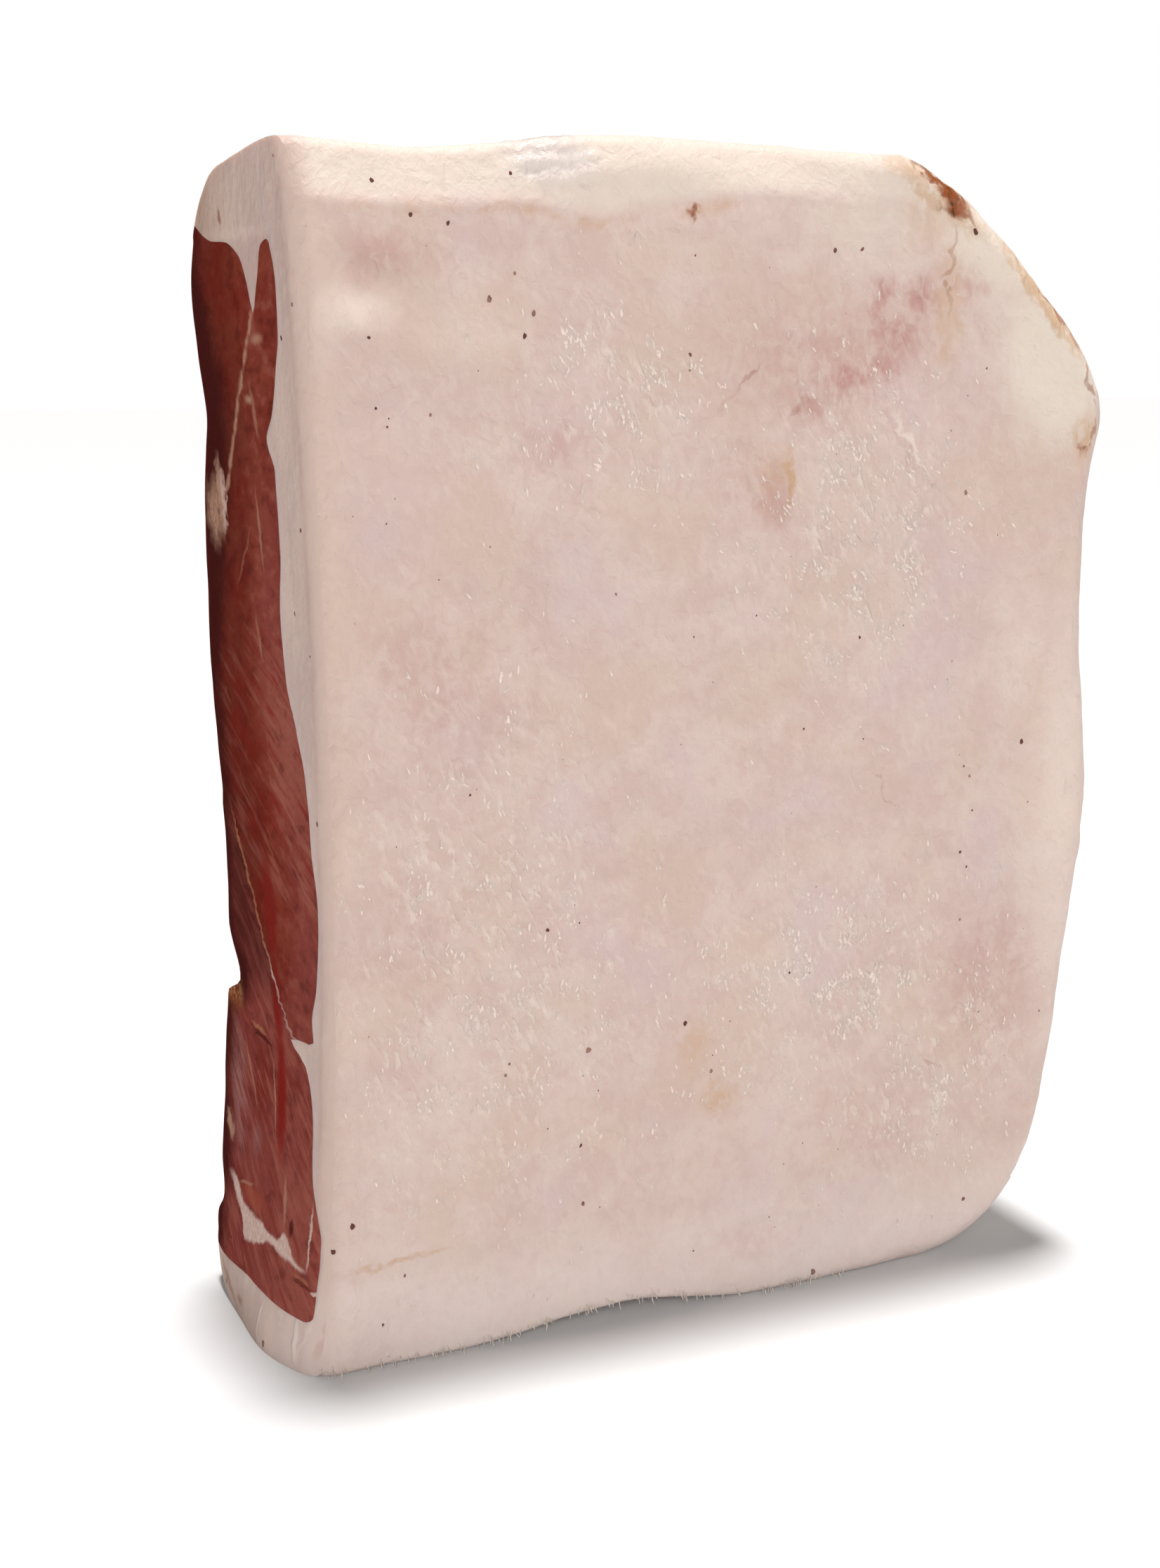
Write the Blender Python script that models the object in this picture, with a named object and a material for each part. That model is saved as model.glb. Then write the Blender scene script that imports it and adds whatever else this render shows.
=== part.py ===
"""Speck ham: a thick piece of cured, smoked leg, standing upright.

The pale fat cover faces -Y, the knife's cut faces -X, the natural rounded end is at +X,
and the bare meat side, with its swelling muscles, is the back at +Y.

The block is worked out with its lower front knife corner at the origin: x along the fat
cover, y into the depth, z up. Then all of it is moved to stand centred on the floor.
"""

import math

import bmesh
import bpy
from mathutils import Vector

# Driving dimensions, in metres
WIDTH = 0.1792
DEPTH = 0.0595
HEIGHT = 0.2413
GAP = 0.0003

# Large corners of the natural end, along x and z. Roundness 2 is a true arc, less is flatter.
UPPER_CORNER = (0.0500, 0.0560)
UPPER_ROUNDNESS = 1.45
LOWER_CORNER = (0.0380, 0.0500)
LOWER_ROUNDNESS = 2.0

# How far the edges round over
SKIN_EDGE = 0.0020
FOOT_EDGE = 0.0034
END_EDGE = 0.0070
END_BACK_EDGE = 0.0200
TOP_BACK_EDGE = 0.0250

# The lean inside the fat cover
LEAN_FLOOR = 0.0105
LEAN_TOP = 0.2260
END_FAT = 0.0095
FAT_AT_END = 0.0100
FAT_AT_THE_TOP = 0.0125
FAT_OVER_THE_ROUND = 0.0190
FAT_OVER_THE_SHANK = 0.0070
FAT_AT_THE_FOOT = 0.0035

# How far the lean's block reaches past the cut and past the meat side
OVERCUT = 0.0300
OVERDEPTH = 0.0900

# Swellings of the meat side and of the natural end: height, half width, how far out
MUSCLES = (
    (0.1400, 0.0300, 0.0058),
    (0.1690, 0.0130, 0.0014),
    (0.1910, 0.0080, -0.0024),
    (0.2160, 0.0110, 0.0026),
    (0.0520, 0.0140, 0.0020),
    (0.0240, 0.0050, -0.0045),
)
END_SWELLINGS = (
    (0.1980, 0.0180, 0.0045),
    (0.1060, 0.0260, 0.0038),
    (0.0400, 0.0220, -0.0026),
)

# The seam between the two large muscles, on the meat side
SEAM_HEIGHT = 0.0690
SEAM_RISE = 0.0180
SEAM_DEPTH = 0.0095

# Below this height the seam's slope fades out, so that the foot stays flat
FLAT_FOOT_HEIGHT = 0.0150

# The trimmed bevel along the top of the fat cover
BEVEL_HEIGHT = 0.0105
BEVEL_DEPTH = 0.0042

# Soft swellings of the fat cover: x, z, half width, half height, how far out
COVER_SWELLINGS = (
    (0.0250, 0.1900, 0.0220, 0.0140, 0.0012),
    (0.0560, 0.1690, 0.0160, 0.0120, -0.0014),
    (0.0720, 0.2360, 0.0180, 0.0060, 0.0018),
    (0.1280, 0.1750, 0.0160, 0.0240, -0.0012),
    (0.0800, 0.0950, 0.0300, 0.0300, 0.0010),
    (0.1240, 0.0260, 0.0240, 0.0080, -0.0014),
    (0.0350, 0.0230, 0.0400, 0.0030, -0.0012),
)

# Rows of the block and of the lean inside it, along x, y and z
BLOCK_ROWS = (22, 9, 34)
LEAN_ROWS = (8, 10, 30)
SEAM_ROWS = (0.0610, 0.0650, 0.0675, 0.0700)
ROW_CROWDING = 0.55


def ease(start, end, value):
    """Rises smoothly from 0 at start to 1 at end."""
    share = min(max((value - start) / (end - start), 0.0), 1.0)
    return share * share * (3.0 - 2.0 * share)


def swell(value, centre, reach):
    """A soft bump that is 1 at its centre."""
    return math.exp(-(((value - centre) / reach) ** 2))


def mix(low, high, share):
    return low + (high - low) * share


# The block's outline

def knife_face(y, z):
    """How far the cut stands off x = 0. It bows, slants back and bellies out at the foot."""
    bow = 0.0047 * (1.0 - ((z - 0.104) / 0.137) ** 2)
    slant = 0.09 * y
    across = min(max(y / 0.068, 0.0), 1.0)
    belly = 0.0060 * swell(z, 0.0, 0.040) * math.sqrt(math.sin(math.pi * across))
    return bow - slant - belly


def natural_end(z):
    """The rounded end swells at the shoulder and at mid height."""
    return sum(rise * swell(z, height, reach) for height, reach, rise in END_SWELLINGS)


def top_line(x):
    dip = -0.0012 * swell(x, 0.0280, 0.0170)
    rise = 0.0022 * swell(x, 0.0660, 0.0220) + 0.0013 * swell(x, 0.1000, 0.0220)
    return dip + rise


def foot_line(x, y):
    """The foot arches a little under the front, and lifts at the back knife corner."""
    arch = 0.0038 * ease(0.0280, 0.0680, x) * (1.0 - ease(0.0680, 0.1000, x))
    arch *= 1.0 - 0.6 * ease(0.0100, 0.0450, y)
    lift = 0.0026 * ease(0.0440, 0.0600, y) * (1.0 - ease(0.0200, 0.0900, x))
    return arch + lift


def meat_side(x, z):
    """Depth of the meat side: swelling muscles, the seam between them, thinner at the end."""
    depth = DEPTH
    for height, reach, rise in MUSCLES:
        depth += rise * swell(z, height, reach)
    ledge = ease(SEAM_HEIGHT - 0.0060, SEAM_HEIGHT, z)
    ledge *= 1.0 - ease(SEAM_HEIGHT + 0.0010, SEAM_HEIGHT + 0.0120, z)
    depth -= SEAM_DEPTH * ledge * mix(1.0, 0.40, ease(0.0, WIDTH, x))
    depth += 0.0012 * math.sin(x / 0.0130) * math.sin(z / 0.0170)
    return depth * mix(1.0, 0.82, ease(0.0500, WIDTH, x))


def cover_side(x, z):
    """Depth of the fat cover's skin, with its bevel. Smaller is further out."""
    bevel_start = HEIGHT - BEVEL_HEIGHT
    depth = BEVEL_DEPTH * max(z - bevel_start, 0.0) / BEVEL_HEIGHT
    depth *= 1.0 - ease(0.1000, 0.1350, x)
    for at_x, at_z, reach_x, reach_z, rise in COVER_SWELLINGS:
        depth -= rise * swell(x, at_x, reach_x) * swell(z, at_z, reach_z)
    return depth


# Rounding

def block_reaches(x, y, z):
    """How far the edges round over: towards the low sides, then towards the high sides.
    The knife's own edges are left sharp."""
    near_end = ease(0.0900, 0.1650, x)
    near_top = ease(0.1900, 0.2150, z)
    near_back = ease(0.40 * DEPTH, 0.60 * DEPTH, y)
    front = mix(SKIN_EDGE, END_EDGE, near_end)
    back = mix(mix(SKIN_EDGE, TOP_BACK_EDGE, near_top), TOP_BACK_EDGE, near_end)
    foot = mix(FOOT_EDGE, mix(END_EDGE, END_BACK_EDGE, near_back), near_end)
    end = mix(END_EDGE, END_BACK_EDGE, near_back)
    top = mix(front, TOP_BACK_EDGE, near_back)
    return (0.0, front, foot), (end, back, top)


def lean_reaches():
    return (0.0020, 0.0030, 0.0020), (0.0050, 0.0020, 0.0030)


def round_over(point, low_corner, high_corner, reaches):
    """Rounds the edges around a box's front and back. Its outline in x and z stays square."""
    lows, highs = reaches
    inner = []
    offsets = []
    spans = []
    for axis in range(3):
        start = low_corner[axis] + lows[axis]
        end = high_corner[axis] - highs[axis]
        nearest = min(max(point[axis], start), end)
        span = lows[axis] if point[axis] < start else highs[axis]
        inner.append(nearest)
        spans.append(span)
        offsets.append((point[axis] - nearest) / span)
    outward = max(abs(offsets[0]), abs(offsets[2]))
    length = math.hypot(outward, offsets[1])
    if length == 0.0:
        return point
    shrink = max(outward, abs(offsets[1])) / length
    return [inner[axis] + offsets[axis] * spans[axis] * shrink for axis in range(3)]


def round_corner(x, z, corner, reach_x, reach_z, roundness):
    """Rounds one corner of the outline. A negative reach_z is a lower corner."""
    start_x = corner[0] - reach_x
    start_z = corner[1] - reach_z
    across = (x - start_x) / reach_x
    along = (z - start_z) / reach_z
    if across <= 0.0 or along <= 0.0:
        return x, z
    shrink = max(across, along) / (across**roundness + along**roundness) ** (1.0 / roundness)
    return start_x + across * reach_x * shrink, start_z + along * reach_z * shrink


def round_end(x, z, low, high, inset):
    """Rounds both corners of the natural end, with tighter corners on an inset outline."""
    upper = (high[0], high[2])
    lower = (high[0], low[2])
    reach_x, reach_z = (reach - inset for reach in UPPER_CORNER)
    x, z = round_corner(x, z, upper, reach_x, reach_z, UPPER_ROUNDNESS)
    reach_x, reach_z = (reach - inset for reach in LOWER_CORNER)
    return round_corner(x, z, lower, reach_x, -reach_z, LOWER_ROUNDNESS)


# The two forms

def block_point(point):
    """The whole ham, from a point of its plain box."""
    low = (0.0, 0.0, 0.0)
    high = (WIDTH, DEPTH, HEIGHT)
    x, y, z = round_over(point, low, high, block_reaches(*point))
    inward = y / DEPTH
    y = mix(cover_side(x, z), meat_side(x, z), inward)
    slope = SEAM_RISE * ease(0.0, WIDTH, x) * inward
    z += slope * swell(z, SEAM_HEIGHT, 0.0450) * ease(0.0, FLAT_FOOT_HEIGHT, z)
    x, z = round_end(x, z, low, high, 0.0)
    z += top_line(x) * ease(0.1600, HEIGHT, z)
    z += foot_line(x, y) * (1.0 - ease(0.0, 0.0600, z))
    x += natural_end(z) * ease(0.1000, WIDTH, x)
    x += knife_face(y, z) * (1.0 - ease(0.0, 0.0900, x))
    return x, y, z


def fat_thickness(x, z):
    """The fat is thickest over the round, thin over the lower muscle, with a wedge between."""
    at_cut = FAT_OVER_THE_SHANK
    at_cut += (FAT_OVER_THE_ROUND - FAT_OVER_THE_SHANK) * ease(0.1050, 0.1450, z)
    at_cut -= (FAT_OVER_THE_ROUND - FAT_AT_THE_TOP) * ease(0.1900, 0.2060, z)
    at_cut -= (FAT_OVER_THE_SHANK - FAT_AT_THE_FOOT) * (1.0 - ease(0.0200, 0.0450, z))
    notch = 0.0030 * swell(z, 0.1870, 0.0045)
    wedge = 0.0055 * swell(z, 0.0640, 0.0060)
    inward = ease(0.0150, 0.1200, x)
    return mix(at_cut + notch + wedge, FAT_AT_END, inward)


def lean_point(point):
    """The lean's block, cut square past the knife's face and past the meat side."""
    low = (-OVERCUT, 0.0, LEAN_FLOOR)
    high = (WIDTH - END_FAT, OVERDEPTH, LEAN_TOP)
    x, y, z = round_over(point, low, high, lean_reaches())
    x, z = round_end(x, z, low, high, END_FAT)
    y = mix(fat_thickness(x, z), OVERDEPTH, y / OVERDEPTH)
    cleft = 0.0130 * swell(y, 0.0255, 0.0042) * (1.0 - ease(0.0200, 0.0800, x))
    z -= cleft * ease(0.1900, LEAN_TOP, z)
    z += top_line(x) * ease(0.1600, HEIGHT, z)
    z -= 0.0020 * ease(0.0300, 0.0520, y) * (1.0 - ease(LEAN_FLOOR, 0.0400, z))
    x += natural_end(z) * ease(0.1000, WIDTH, x)
    return x, y, z


# Meshes

def row_places(start, end, count):
    """Places to slice at, closer together near both ends, where the form rounds over."""
    places = []
    for step in range(1, count):
        even = step / count
        crowded = 0.5 - 0.5 * math.cos(math.pi * even)
        places.append(mix(start, end, mix(even, crowded, ROW_CROWDING)))
    return places


def sliced_box(name, low, high, rows, extra_heights=()):
    """A cube primitive stretched to the box and sliced into rows along each axis."""
    form = bmesh.new()
    bmesh.ops.create_cube(form, size=1.0)
    size = Vector(high) - Vector(low)
    for vertex in form.verts:
        for axis in range(3):
            vertex.co[axis] = low[axis] + (vertex.co[axis] + 0.5) * size[axis]
    for axis in range(3):
        normal = Vector((0.0, 0.0, 0.0))
        normal[axis] = 1.0
        places = row_places(low[axis], high[axis], rows[axis])
        if axis == 2:
            places.extend(extra_heights)
        for place in places:
            everything = form.verts[:] + form.edges[:] + form.faces[:]
            bmesh.ops.bisect_plane(form, geom=everything, plane_co=normal * place, plane_no=normal)
    mesh = bpy.data.meshes.new(name)
    form.to_mesh(mesh)
    form.free()
    return mesh


def reshape(mesh, rule):
    for vertex in mesh.vertices:
        vertex.co = rule(vertex.co.copy())


def standing_shift(mesh):
    """The move that centres the ham over the origin and sets its foot on the floor."""
    lows = [min(vertex.co[axis] for vertex in mesh.vertices) for axis in range(3)]
    highs = [max(vertex.co[axis] for vertex in mesh.vertices) for axis in range(3)]
    return Vector((-(lows[0] + highs[0]) / 2, -(lows[1] + highs[1]) / 2, -lows[2]))


def move(mesh, shift):
    for vertex in mesh.vertices:
        vertex.co += shift


# Materials and objects

def finish(name, colour, roughness):
    material = bpy.data.materials.new(name)
    material.use_nodes = True
    shader = material.node_tree.nodes["Principled BSDF"]
    shader.inputs["Base Color"].default_value = (*colour, 1.0)
    shader.inputs["Roughness"].default_value = roughness
    shader.inputs["Metallic"].default_value = 0.0
    material.diffuse_color = (*colour, 1.0)
    return material


def new_collection(name):
    collection = bpy.data.collections.new(name)
    bpy.context.scene.collection.children.link(collection)
    return collection


def add_object(name, mesh, collection):
    item = bpy.data.objects.new(name, mesh)
    collection.objects.link(item)
    return item


def add_cutter(name, mesh, collection):
    cutter = add_object(name, mesh, collection)
    cutter.hide_render = True
    cutter.display_type = "WIRE"
    return cutter


def cut(item, operation, cutter):
    step = item.modifiers.new(operation.lower(), "BOOLEAN")
    step.operation = operation
    step.solver = "EXACT"
    step.object = cutter


def clear_scene():
    for item in list(bpy.data.objects):
        bpy.data.objects.remove(item)


def build():
    clear_scene()
    parts = new_collection("speck_ham")
    cutters = new_collection("cutters")

    block = sliced_box("block", (0.0, 0.0, 0.0), (WIDTH, DEPTH, HEIGHT), BLOCK_ROWS, SEAM_ROWS)
    reshape(block, block_point)
    low = (-OVERCUT, 0.0, LEAN_FLOOR)
    high = (WIDTH - END_FAT, OVERDEPTH, LEAN_TOP)
    inside = sliced_box("lean_block", low, high, LEAN_ROWS)
    reshape(inside, lean_point)

    shift = standing_shift(block)
    move(block, shift)
    move(inside, shift)
    block.shade_smooth()

    lean_shape = add_cutter("lean_shape", inside, cutters)
    fat_hollow = add_cutter("fat_hollow", inside.copy(), cutters)
    grow = fat_hollow.modifiers.new("clearance", "DISPLACE")
    grow.mid_level = 0.0
    grow.strength = GAP

    fat_cover = add_object("fat_cover", block, parts)
    fat_cover.data.materials.append(finish("cured_fat", (0.68, 0.52, 0.45), 0.42))
    cut(fat_cover, "DIFFERENCE", fat_hollow)

    lean = add_object("lean", block.copy(), parts)
    lean.data.materials.clear()
    lean.data.materials.append(finish("cured_lean", (0.19, 0.035, 0.028), 0.48))
    cut(lean, "INTERSECT", lean_shape)


build()
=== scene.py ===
"""Speck ham: the finish of a thick, knife-cut piece of cured and smoked leg.

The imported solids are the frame. This script gives them their fine surfaces: the pale fat
cover with its torn fibres, the cut with its muscles and seams, and the smoked meat side.

Forms are worked out as in the construction, with the lower front knife corner at the origin:
x along the fat cover, y into the depth, z up. Materials read the same places in millimetres.
"""

import functools
import math
import random

import bmesh
import bpy
import numpy as np
from bpy.props import FloatProperty, FloatVectorProperty, IntProperty, PointerProperty
from mathutils import Euler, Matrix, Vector, noise
from mathutils.bvhtree import BVHTree


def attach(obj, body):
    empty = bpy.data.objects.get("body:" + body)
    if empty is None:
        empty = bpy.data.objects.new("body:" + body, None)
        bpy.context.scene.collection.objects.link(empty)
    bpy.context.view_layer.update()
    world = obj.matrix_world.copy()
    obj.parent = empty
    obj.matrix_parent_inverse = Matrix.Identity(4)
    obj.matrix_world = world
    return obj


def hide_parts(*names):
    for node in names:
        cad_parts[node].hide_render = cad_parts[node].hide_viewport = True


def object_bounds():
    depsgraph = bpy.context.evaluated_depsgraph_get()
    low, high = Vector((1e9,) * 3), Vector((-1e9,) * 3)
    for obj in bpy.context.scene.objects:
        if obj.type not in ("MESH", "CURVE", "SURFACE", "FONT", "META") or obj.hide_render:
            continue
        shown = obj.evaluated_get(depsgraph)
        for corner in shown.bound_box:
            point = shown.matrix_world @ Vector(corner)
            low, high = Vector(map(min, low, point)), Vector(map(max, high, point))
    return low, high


bl_info = {
    "name": "Speck Ham",
    "version": (1, 0, 0),
    "blender": (4, 5, 0),
    "location": "3D View > Sidebar > Speck Ham",
    "description": "Dresses a piece of cured, smoked leg: fat cover, cut lean and smoked side",
    "category": "Object",
}

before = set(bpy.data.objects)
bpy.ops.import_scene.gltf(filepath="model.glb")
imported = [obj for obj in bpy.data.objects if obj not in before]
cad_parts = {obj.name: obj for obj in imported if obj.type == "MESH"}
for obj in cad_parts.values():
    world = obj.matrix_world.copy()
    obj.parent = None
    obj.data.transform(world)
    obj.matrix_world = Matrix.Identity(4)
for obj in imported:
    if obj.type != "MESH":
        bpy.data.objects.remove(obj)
CAD_LOW, CAD_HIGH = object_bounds()
BODY = "root"

# The block, in metres
WIDTH = 0.1792
DEPTH = 0.0595
HEIGHT = 0.2413

# Where the block's lower front knife corner stands in the shared frame
SHIFT = (-0.08771, -0.03262, 0.0)

# Large corners of the natural end, along x and z. Roundness 2 is a true arc, less is flatter.
UPPER_CORNER = (0.0500, 0.0560)
UPPER_ROUNDNESS = 1.45
LOWER_CORNER = (0.0380, 0.0500)
LOWER_ROUNDNESS = 2.0

# How far the edges round over
KNIFE_EDGE = 0.0046
SKIN_EDGE = 0.0020
FOOT_EDGE = 0.0018
FOOT_BACK_HEIGHT = 0.0170
FOOT_BACK_DEPTH = 0.0240
END_EDGE = 0.0070
END_BACK_EDGE = 0.0200
TOP_BACK_EDGE = 0.0250

# The lean inside the fat cover
LEAN_FLOOR = 0.0105
LEAN_TOP = 0.2260
END_FAT = 0.0095
FAT_AT_END = 0.0100
OVERCUT = 0.0300
OVERDEPTH = 0.0900

# The cut bows out at mid height, slants back, and bellies out at the foot
BOW = 0.0047
BOW_HEIGHT = 0.104
BOW_REACH = 0.137
SLANT = 0.09
BELLY = 0.0060
BELLY_DEPTH = 0.068
BELLY_REACH = 0.040
TOE = 0.0024
TOE_DEPTH = (0.0160, 0.0140)
TOE_REACH = 0.0110

# How far the top falls and the foot lifts, and the ripple of the meat side
TOP_FALL = 0.0046
FOOT_ARCH = 0.0038
FOOT_LIFT = 0.0026
RIPPLE = 0.0012
THINNER_END = 0.82

# Swellings of the meat side, the natural end and the top line: place, half width, how far out
MUSCLES = (
    (0.1400, 0.0300, 0.0058),
    (0.1690, 0.0130, 0.0014),
    (0.1910, 0.0080, -0.0024),
    (0.2160, 0.0110, 0.0012),
    (0.0520, 0.0140, 0.0020),
    (0.0190, 0.0050, -0.0056),
)
END_SWELLINGS = (
    (0.1980, 0.0180, 0.0045),
    (0.1060, 0.0260, 0.0038),
    (0.0400, 0.0220, -0.0026),
)
TOP_SWELLINGS = (
    (0.0280, 0.0170, -0.0012),
    (0.0660, 0.0220, 0.0022),
    (0.1000, 0.0220, 0.0013),
)

# The seam between the two large muscles, on the meat side
SEAM_HEIGHT = 0.0690
SEAM_RISE = 0.0180
SEAM_DEPTH = 0.0072
FLAT_FOOT_HEIGHT = 0.0150

# How far back the trimmed bevel goes, along the top of the fat cover
BEVEL_DEPTH = 0.0042

# Soft swellings of the fat cover: x, z, half width, half height, how far out
COVER_SWELLINGS = (
    (0.0250, 0.1900, 0.0220, 0.0140, 0.0012),
    (0.0560, 0.1690, 0.0160, 0.0120, -0.0014),
    (0.0720, 0.2360, 0.0180, 0.0060, 0.0018),
    (0.1280, 0.1750, 0.0160, 0.0240, -0.0012),
    (0.0800, 0.0950, 0.0300, 0.0300, 0.0010),
    (0.1240, 0.0260, 0.0240, 0.0080, -0.0014),
    (0.0350, 0.0230, 0.0400, 0.0030, -0.0007),
)

# Depth of the fat at the cut, at each height
FAT_BORDER = (
    (0.0105, 0.0034),
    (0.0180, 0.0030),
    (0.0280, 0.0029),
    (0.0400, 0.0072),
    (0.0530, 0.0089),
    (0.0616, 0.0130),
    (0.0652, 0.0215),
    (0.0676, 0.0094),
    (0.0720, 0.0103),
    (0.0800, 0.0078),
    (0.0950, 0.0064),
    (0.1060, 0.0090),
    (0.1200, 0.0110),
    (0.1300, 0.0150),
    (0.1380, 0.0191),
    (0.1520, 0.0212),
    (0.1650, 0.0191),
    (0.1800, 0.0192),
    (0.1862, 0.0224),
    (0.1910, 0.0186),
    (0.1990, 0.0153),
    (0.2070, 0.0124),
    (0.2190, 0.0115),
    (0.2240, 0.0128),
)

# How far the lean's top drops at the cut, at each depth: two lobes and the cleft between them
LEAN_TOP_DROP = (
    (0.0100, 0.0050),
    (0.0140, 0.0024),
    (0.0180, 0.0034),
    (0.0222, 0.0110),
    (0.0250, 0.0158),
    (0.0274, 0.0096),
    (0.0304, 0.0052),
    (0.0377, 0.0023),
    (0.0460, 0.0018),
    (0.0560, -0.0022),
)

# Seams on the cut and its edge at the meat side, in millimetres: height and depth
UPPER_SEAM = (
    (170.0, 54.5),
    (176.0, 47.7),
    (182.0, 43.9),
    (189.0, 40.2),
    (200.0, 33.2),
    (211.0, 25.2),
)
LONG_SEAM = (
    (65.0, 17.0),
    (66.0, 21.5),
    (68.6, 25.1),
    (72.0, 29.2),
    (81.0, 37.4),
    (92.0, 45.4),
    (108.0, 57.3),
)
MEAT_SIDE = (
    (9.0, 57.0),
    (24.0, 55.5),
    (40.0, 60.5),
    (52.0, 61.5),
    (63.0, 60.0),
    (66.0, 53.5),
    (70.0, 51.5),
    (80.0, 60.0),
    (100.0, 61.5),
    (140.0, 65.0),
    (165.0, 63.5),
    (191.0, 57.5),
    (216.0, 62.0),
    (228.0, 60.0),
)

# The white wedge near the foot of the cut, in millimetres: depth and height
WEDGE_TOP = (
    (6.5, 20.5),
    (9.1, 20.8),
    (12.8, 21.5),
    (15.1, 23.7),
    (17.6, 25.0),
    (20.3, 22.4),
    (24.0, 22.7),
    (29.8, 23.2),
    (36.0, 23.2),
    (40.6, 23.8),
    (42.6, 25.0),
    (45.0, 26.4),
    (48.0, 27.2),
    (53.0, 27.4),
)
WEDGE_FOOT = (
    (6.5, 20.0),
    (10.7, 20.0),
    (15.3, 20.1),
    (19.3, 20.4),
    (22.5, 20.7),
    (28.6, 18.7),
    (32.5, 17.6),
    (36.6, 16.7),
    (38.6, 19.6),
    (43.2, 22.4),
    (47.7, 24.8),
    (53.0, 27.0),
)

# The foot of the bevel along the cover, in millimetres: x and height
BEVEL_LINE = (
    (0.0, 230.4),
    (20.0, 229.6),
    (42.0, 230.2),
    (53.5, 228.5),
    (60.7, 227.5),
    (68.0, 228.6),
    (80.0, 230.2),
    (98.0, 232.2),
    (125.0, 231.0),
    (160.0, 226.0),
)

# Creases and lips along straight lines: start, end, half width and height
COVER_GROOVES = (
    ((0.1265, 0.1910), (0.1400, 0.1745), 0.0012, -0.00050),
    ((0.1285, 0.1915), (0.1420, 0.1755), 0.0014, 0.00030),
    ((0.0090, 0.2160), (0.0250, 0.2085), 0.0070, 0.00070),
)
CUT_GROOVES = (((0.0500, 0.0606), (0.0338, 0.0598), 0.0014, -0.00050),)

# Shallow hollows of the cover: x, z, half width, half height and depth
COVER_HOLLOWS = (
    (0.0530, 0.1865, 0.0090, 0.0080, 0.00080),
    (0.0170, 0.2205, 0.0100, 0.0050, 0.00070),
)

# The crease above the foot of the cover: x and height
FOOT_CREASE = ((0.0, 0.0220), (0.0250, 0.0230), (0.0700, 0.0224))


# Soft curves

def ease(start, end, value):
    """Rises smoothly from 0 at start to 1 at end."""
    share = np.clip((value - start) / (end - start), 0.0, 1.0)
    return share * share * (3.0 - 2.0 * share)


def swell(value, centre, reach):
    """A soft bump that is 1 at its centre."""
    return np.exp(-(((value - centre) / reach) ** 2))


def mix(low, high, share):
    return low + (high - low) * share


def swellings(bumps, value):
    """The soft bumps of a table, added up. Each is its place, half width and how far out."""
    return sum(rise * swell(value, place, reach) for place, reach, rise in bumps)


def through(marks, value):
    """A smooth curve through marks of (place, height), read at value."""
    places, heights = np.array(marks).T
    rises = np.diff(heights) / np.diff(places)
    before, after = rises[:-1], rises[1:]
    both = before * after
    inner = np.where(both > 0.0, 2.0 * both / np.where(both > 0.0, before + after, 1.0), 0.0)
    slopes = np.concatenate([rises[:1], inner, rises[-1:]])
    index = np.clip(np.searchsorted(places, value) - 1, 0, len(rises) - 1)
    gap = places[index + 1] - places[index]
    share = np.clip((value - places[index]) / gap, 0.0, 1.0)
    line = mix(heights[index], heights[index + 1], share)
    bend = share * (1.0 - share) * gap
    start = (slopes[index] - rises[index]) * (1.0 - share)
    end = (slopes[index + 1] - rises[index]) * share
    return line + bend * (start - end)


def lumps(places, size, seed):
    """Smooth random lumps of about that size, from -1 to 1, at each place."""
    offset = Vector((seed * 7.3, seed * 3.1, seed * 5.7))
    return np.array([noise.noise(Vector(place) / size + offset) for place in places])


def ridges(places, size, seed):
    """Sharp crests of about that size, from 0 to 1."""
    return 1.0 - np.minimum(np.abs(lumps(places, size, seed)) * 2.6, 1.0)


# The block's outline, as in the construction

def knife_face(y, z):
    """How far the cut stands off x = 0. It bows, slants back and bellies out at the foot."""
    bow = BOW * (1.0 - ((z - BOW_HEIGHT) / BOW_REACH) ** 2)
    across = np.clip(y / BELLY_DEPTH, 0.0, 1.0)
    belly = BELLY * swell(z, 0.0, BELLY_REACH) * np.sqrt(np.sin(math.pi * across).clip(0.0))
    belly = belly + TOE * swell(z, 0.0, TOE_REACH) * swell(y, *TOE_DEPTH)
    return bow - SLANT * y - belly


def natural_end(z):
    """The rounded end swells at the shoulder and at mid height."""
    return swellings(END_SWELLINGS, z)


def top_line(x):
    """The top dips near the cut and rises along the middle."""
    return swellings(TOP_SWELLINGS, x)


def top_slope(x, y):
    """The top falls away toward the meat side near the cut."""
    return -TOP_FALL * ease(0.0040, 0.0560, y) * (1.0 - ease(0.0200, 0.1000, x))


def foot_line(x, y):
    """The foot arches a little under the front, and lifts at the back knife corner."""
    arch = FOOT_ARCH * ease(0.0280, 0.0680, x) * (1.0 - ease(0.0680, 0.1000, x))
    arch *= 1.0 - 0.6 * ease(0.0100, 0.0450, y)
    return arch + FOOT_LIFT * ease(0.0440, 0.0600, y) * (1.0 - ease(0.0200, 0.0900, x))


def meat_side(x, z):
    """Depth of the meat side: swelling muscles, the seam between them, thinner at the end."""
    depth = DEPTH + swellings(MUSCLES, z)
    ledge = ease(SEAM_HEIGHT - 0.0042, SEAM_HEIGHT + 0.0006, z)
    ledge = ledge * (1.0 - ease(SEAM_HEIGHT + 0.0010, SEAM_HEIGHT + 0.0120, z))
    depth = depth - SEAM_DEPTH * ledge * mix(1.0, 0.40, ease(0.0, WIDTH, x))
    depth = depth + RIPPLE * np.sin(x / 0.0130) * np.sin(z / 0.0170)
    return depth * mix(1.0, THINNER_END, ease(0.0500, WIDTH, x))


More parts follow.
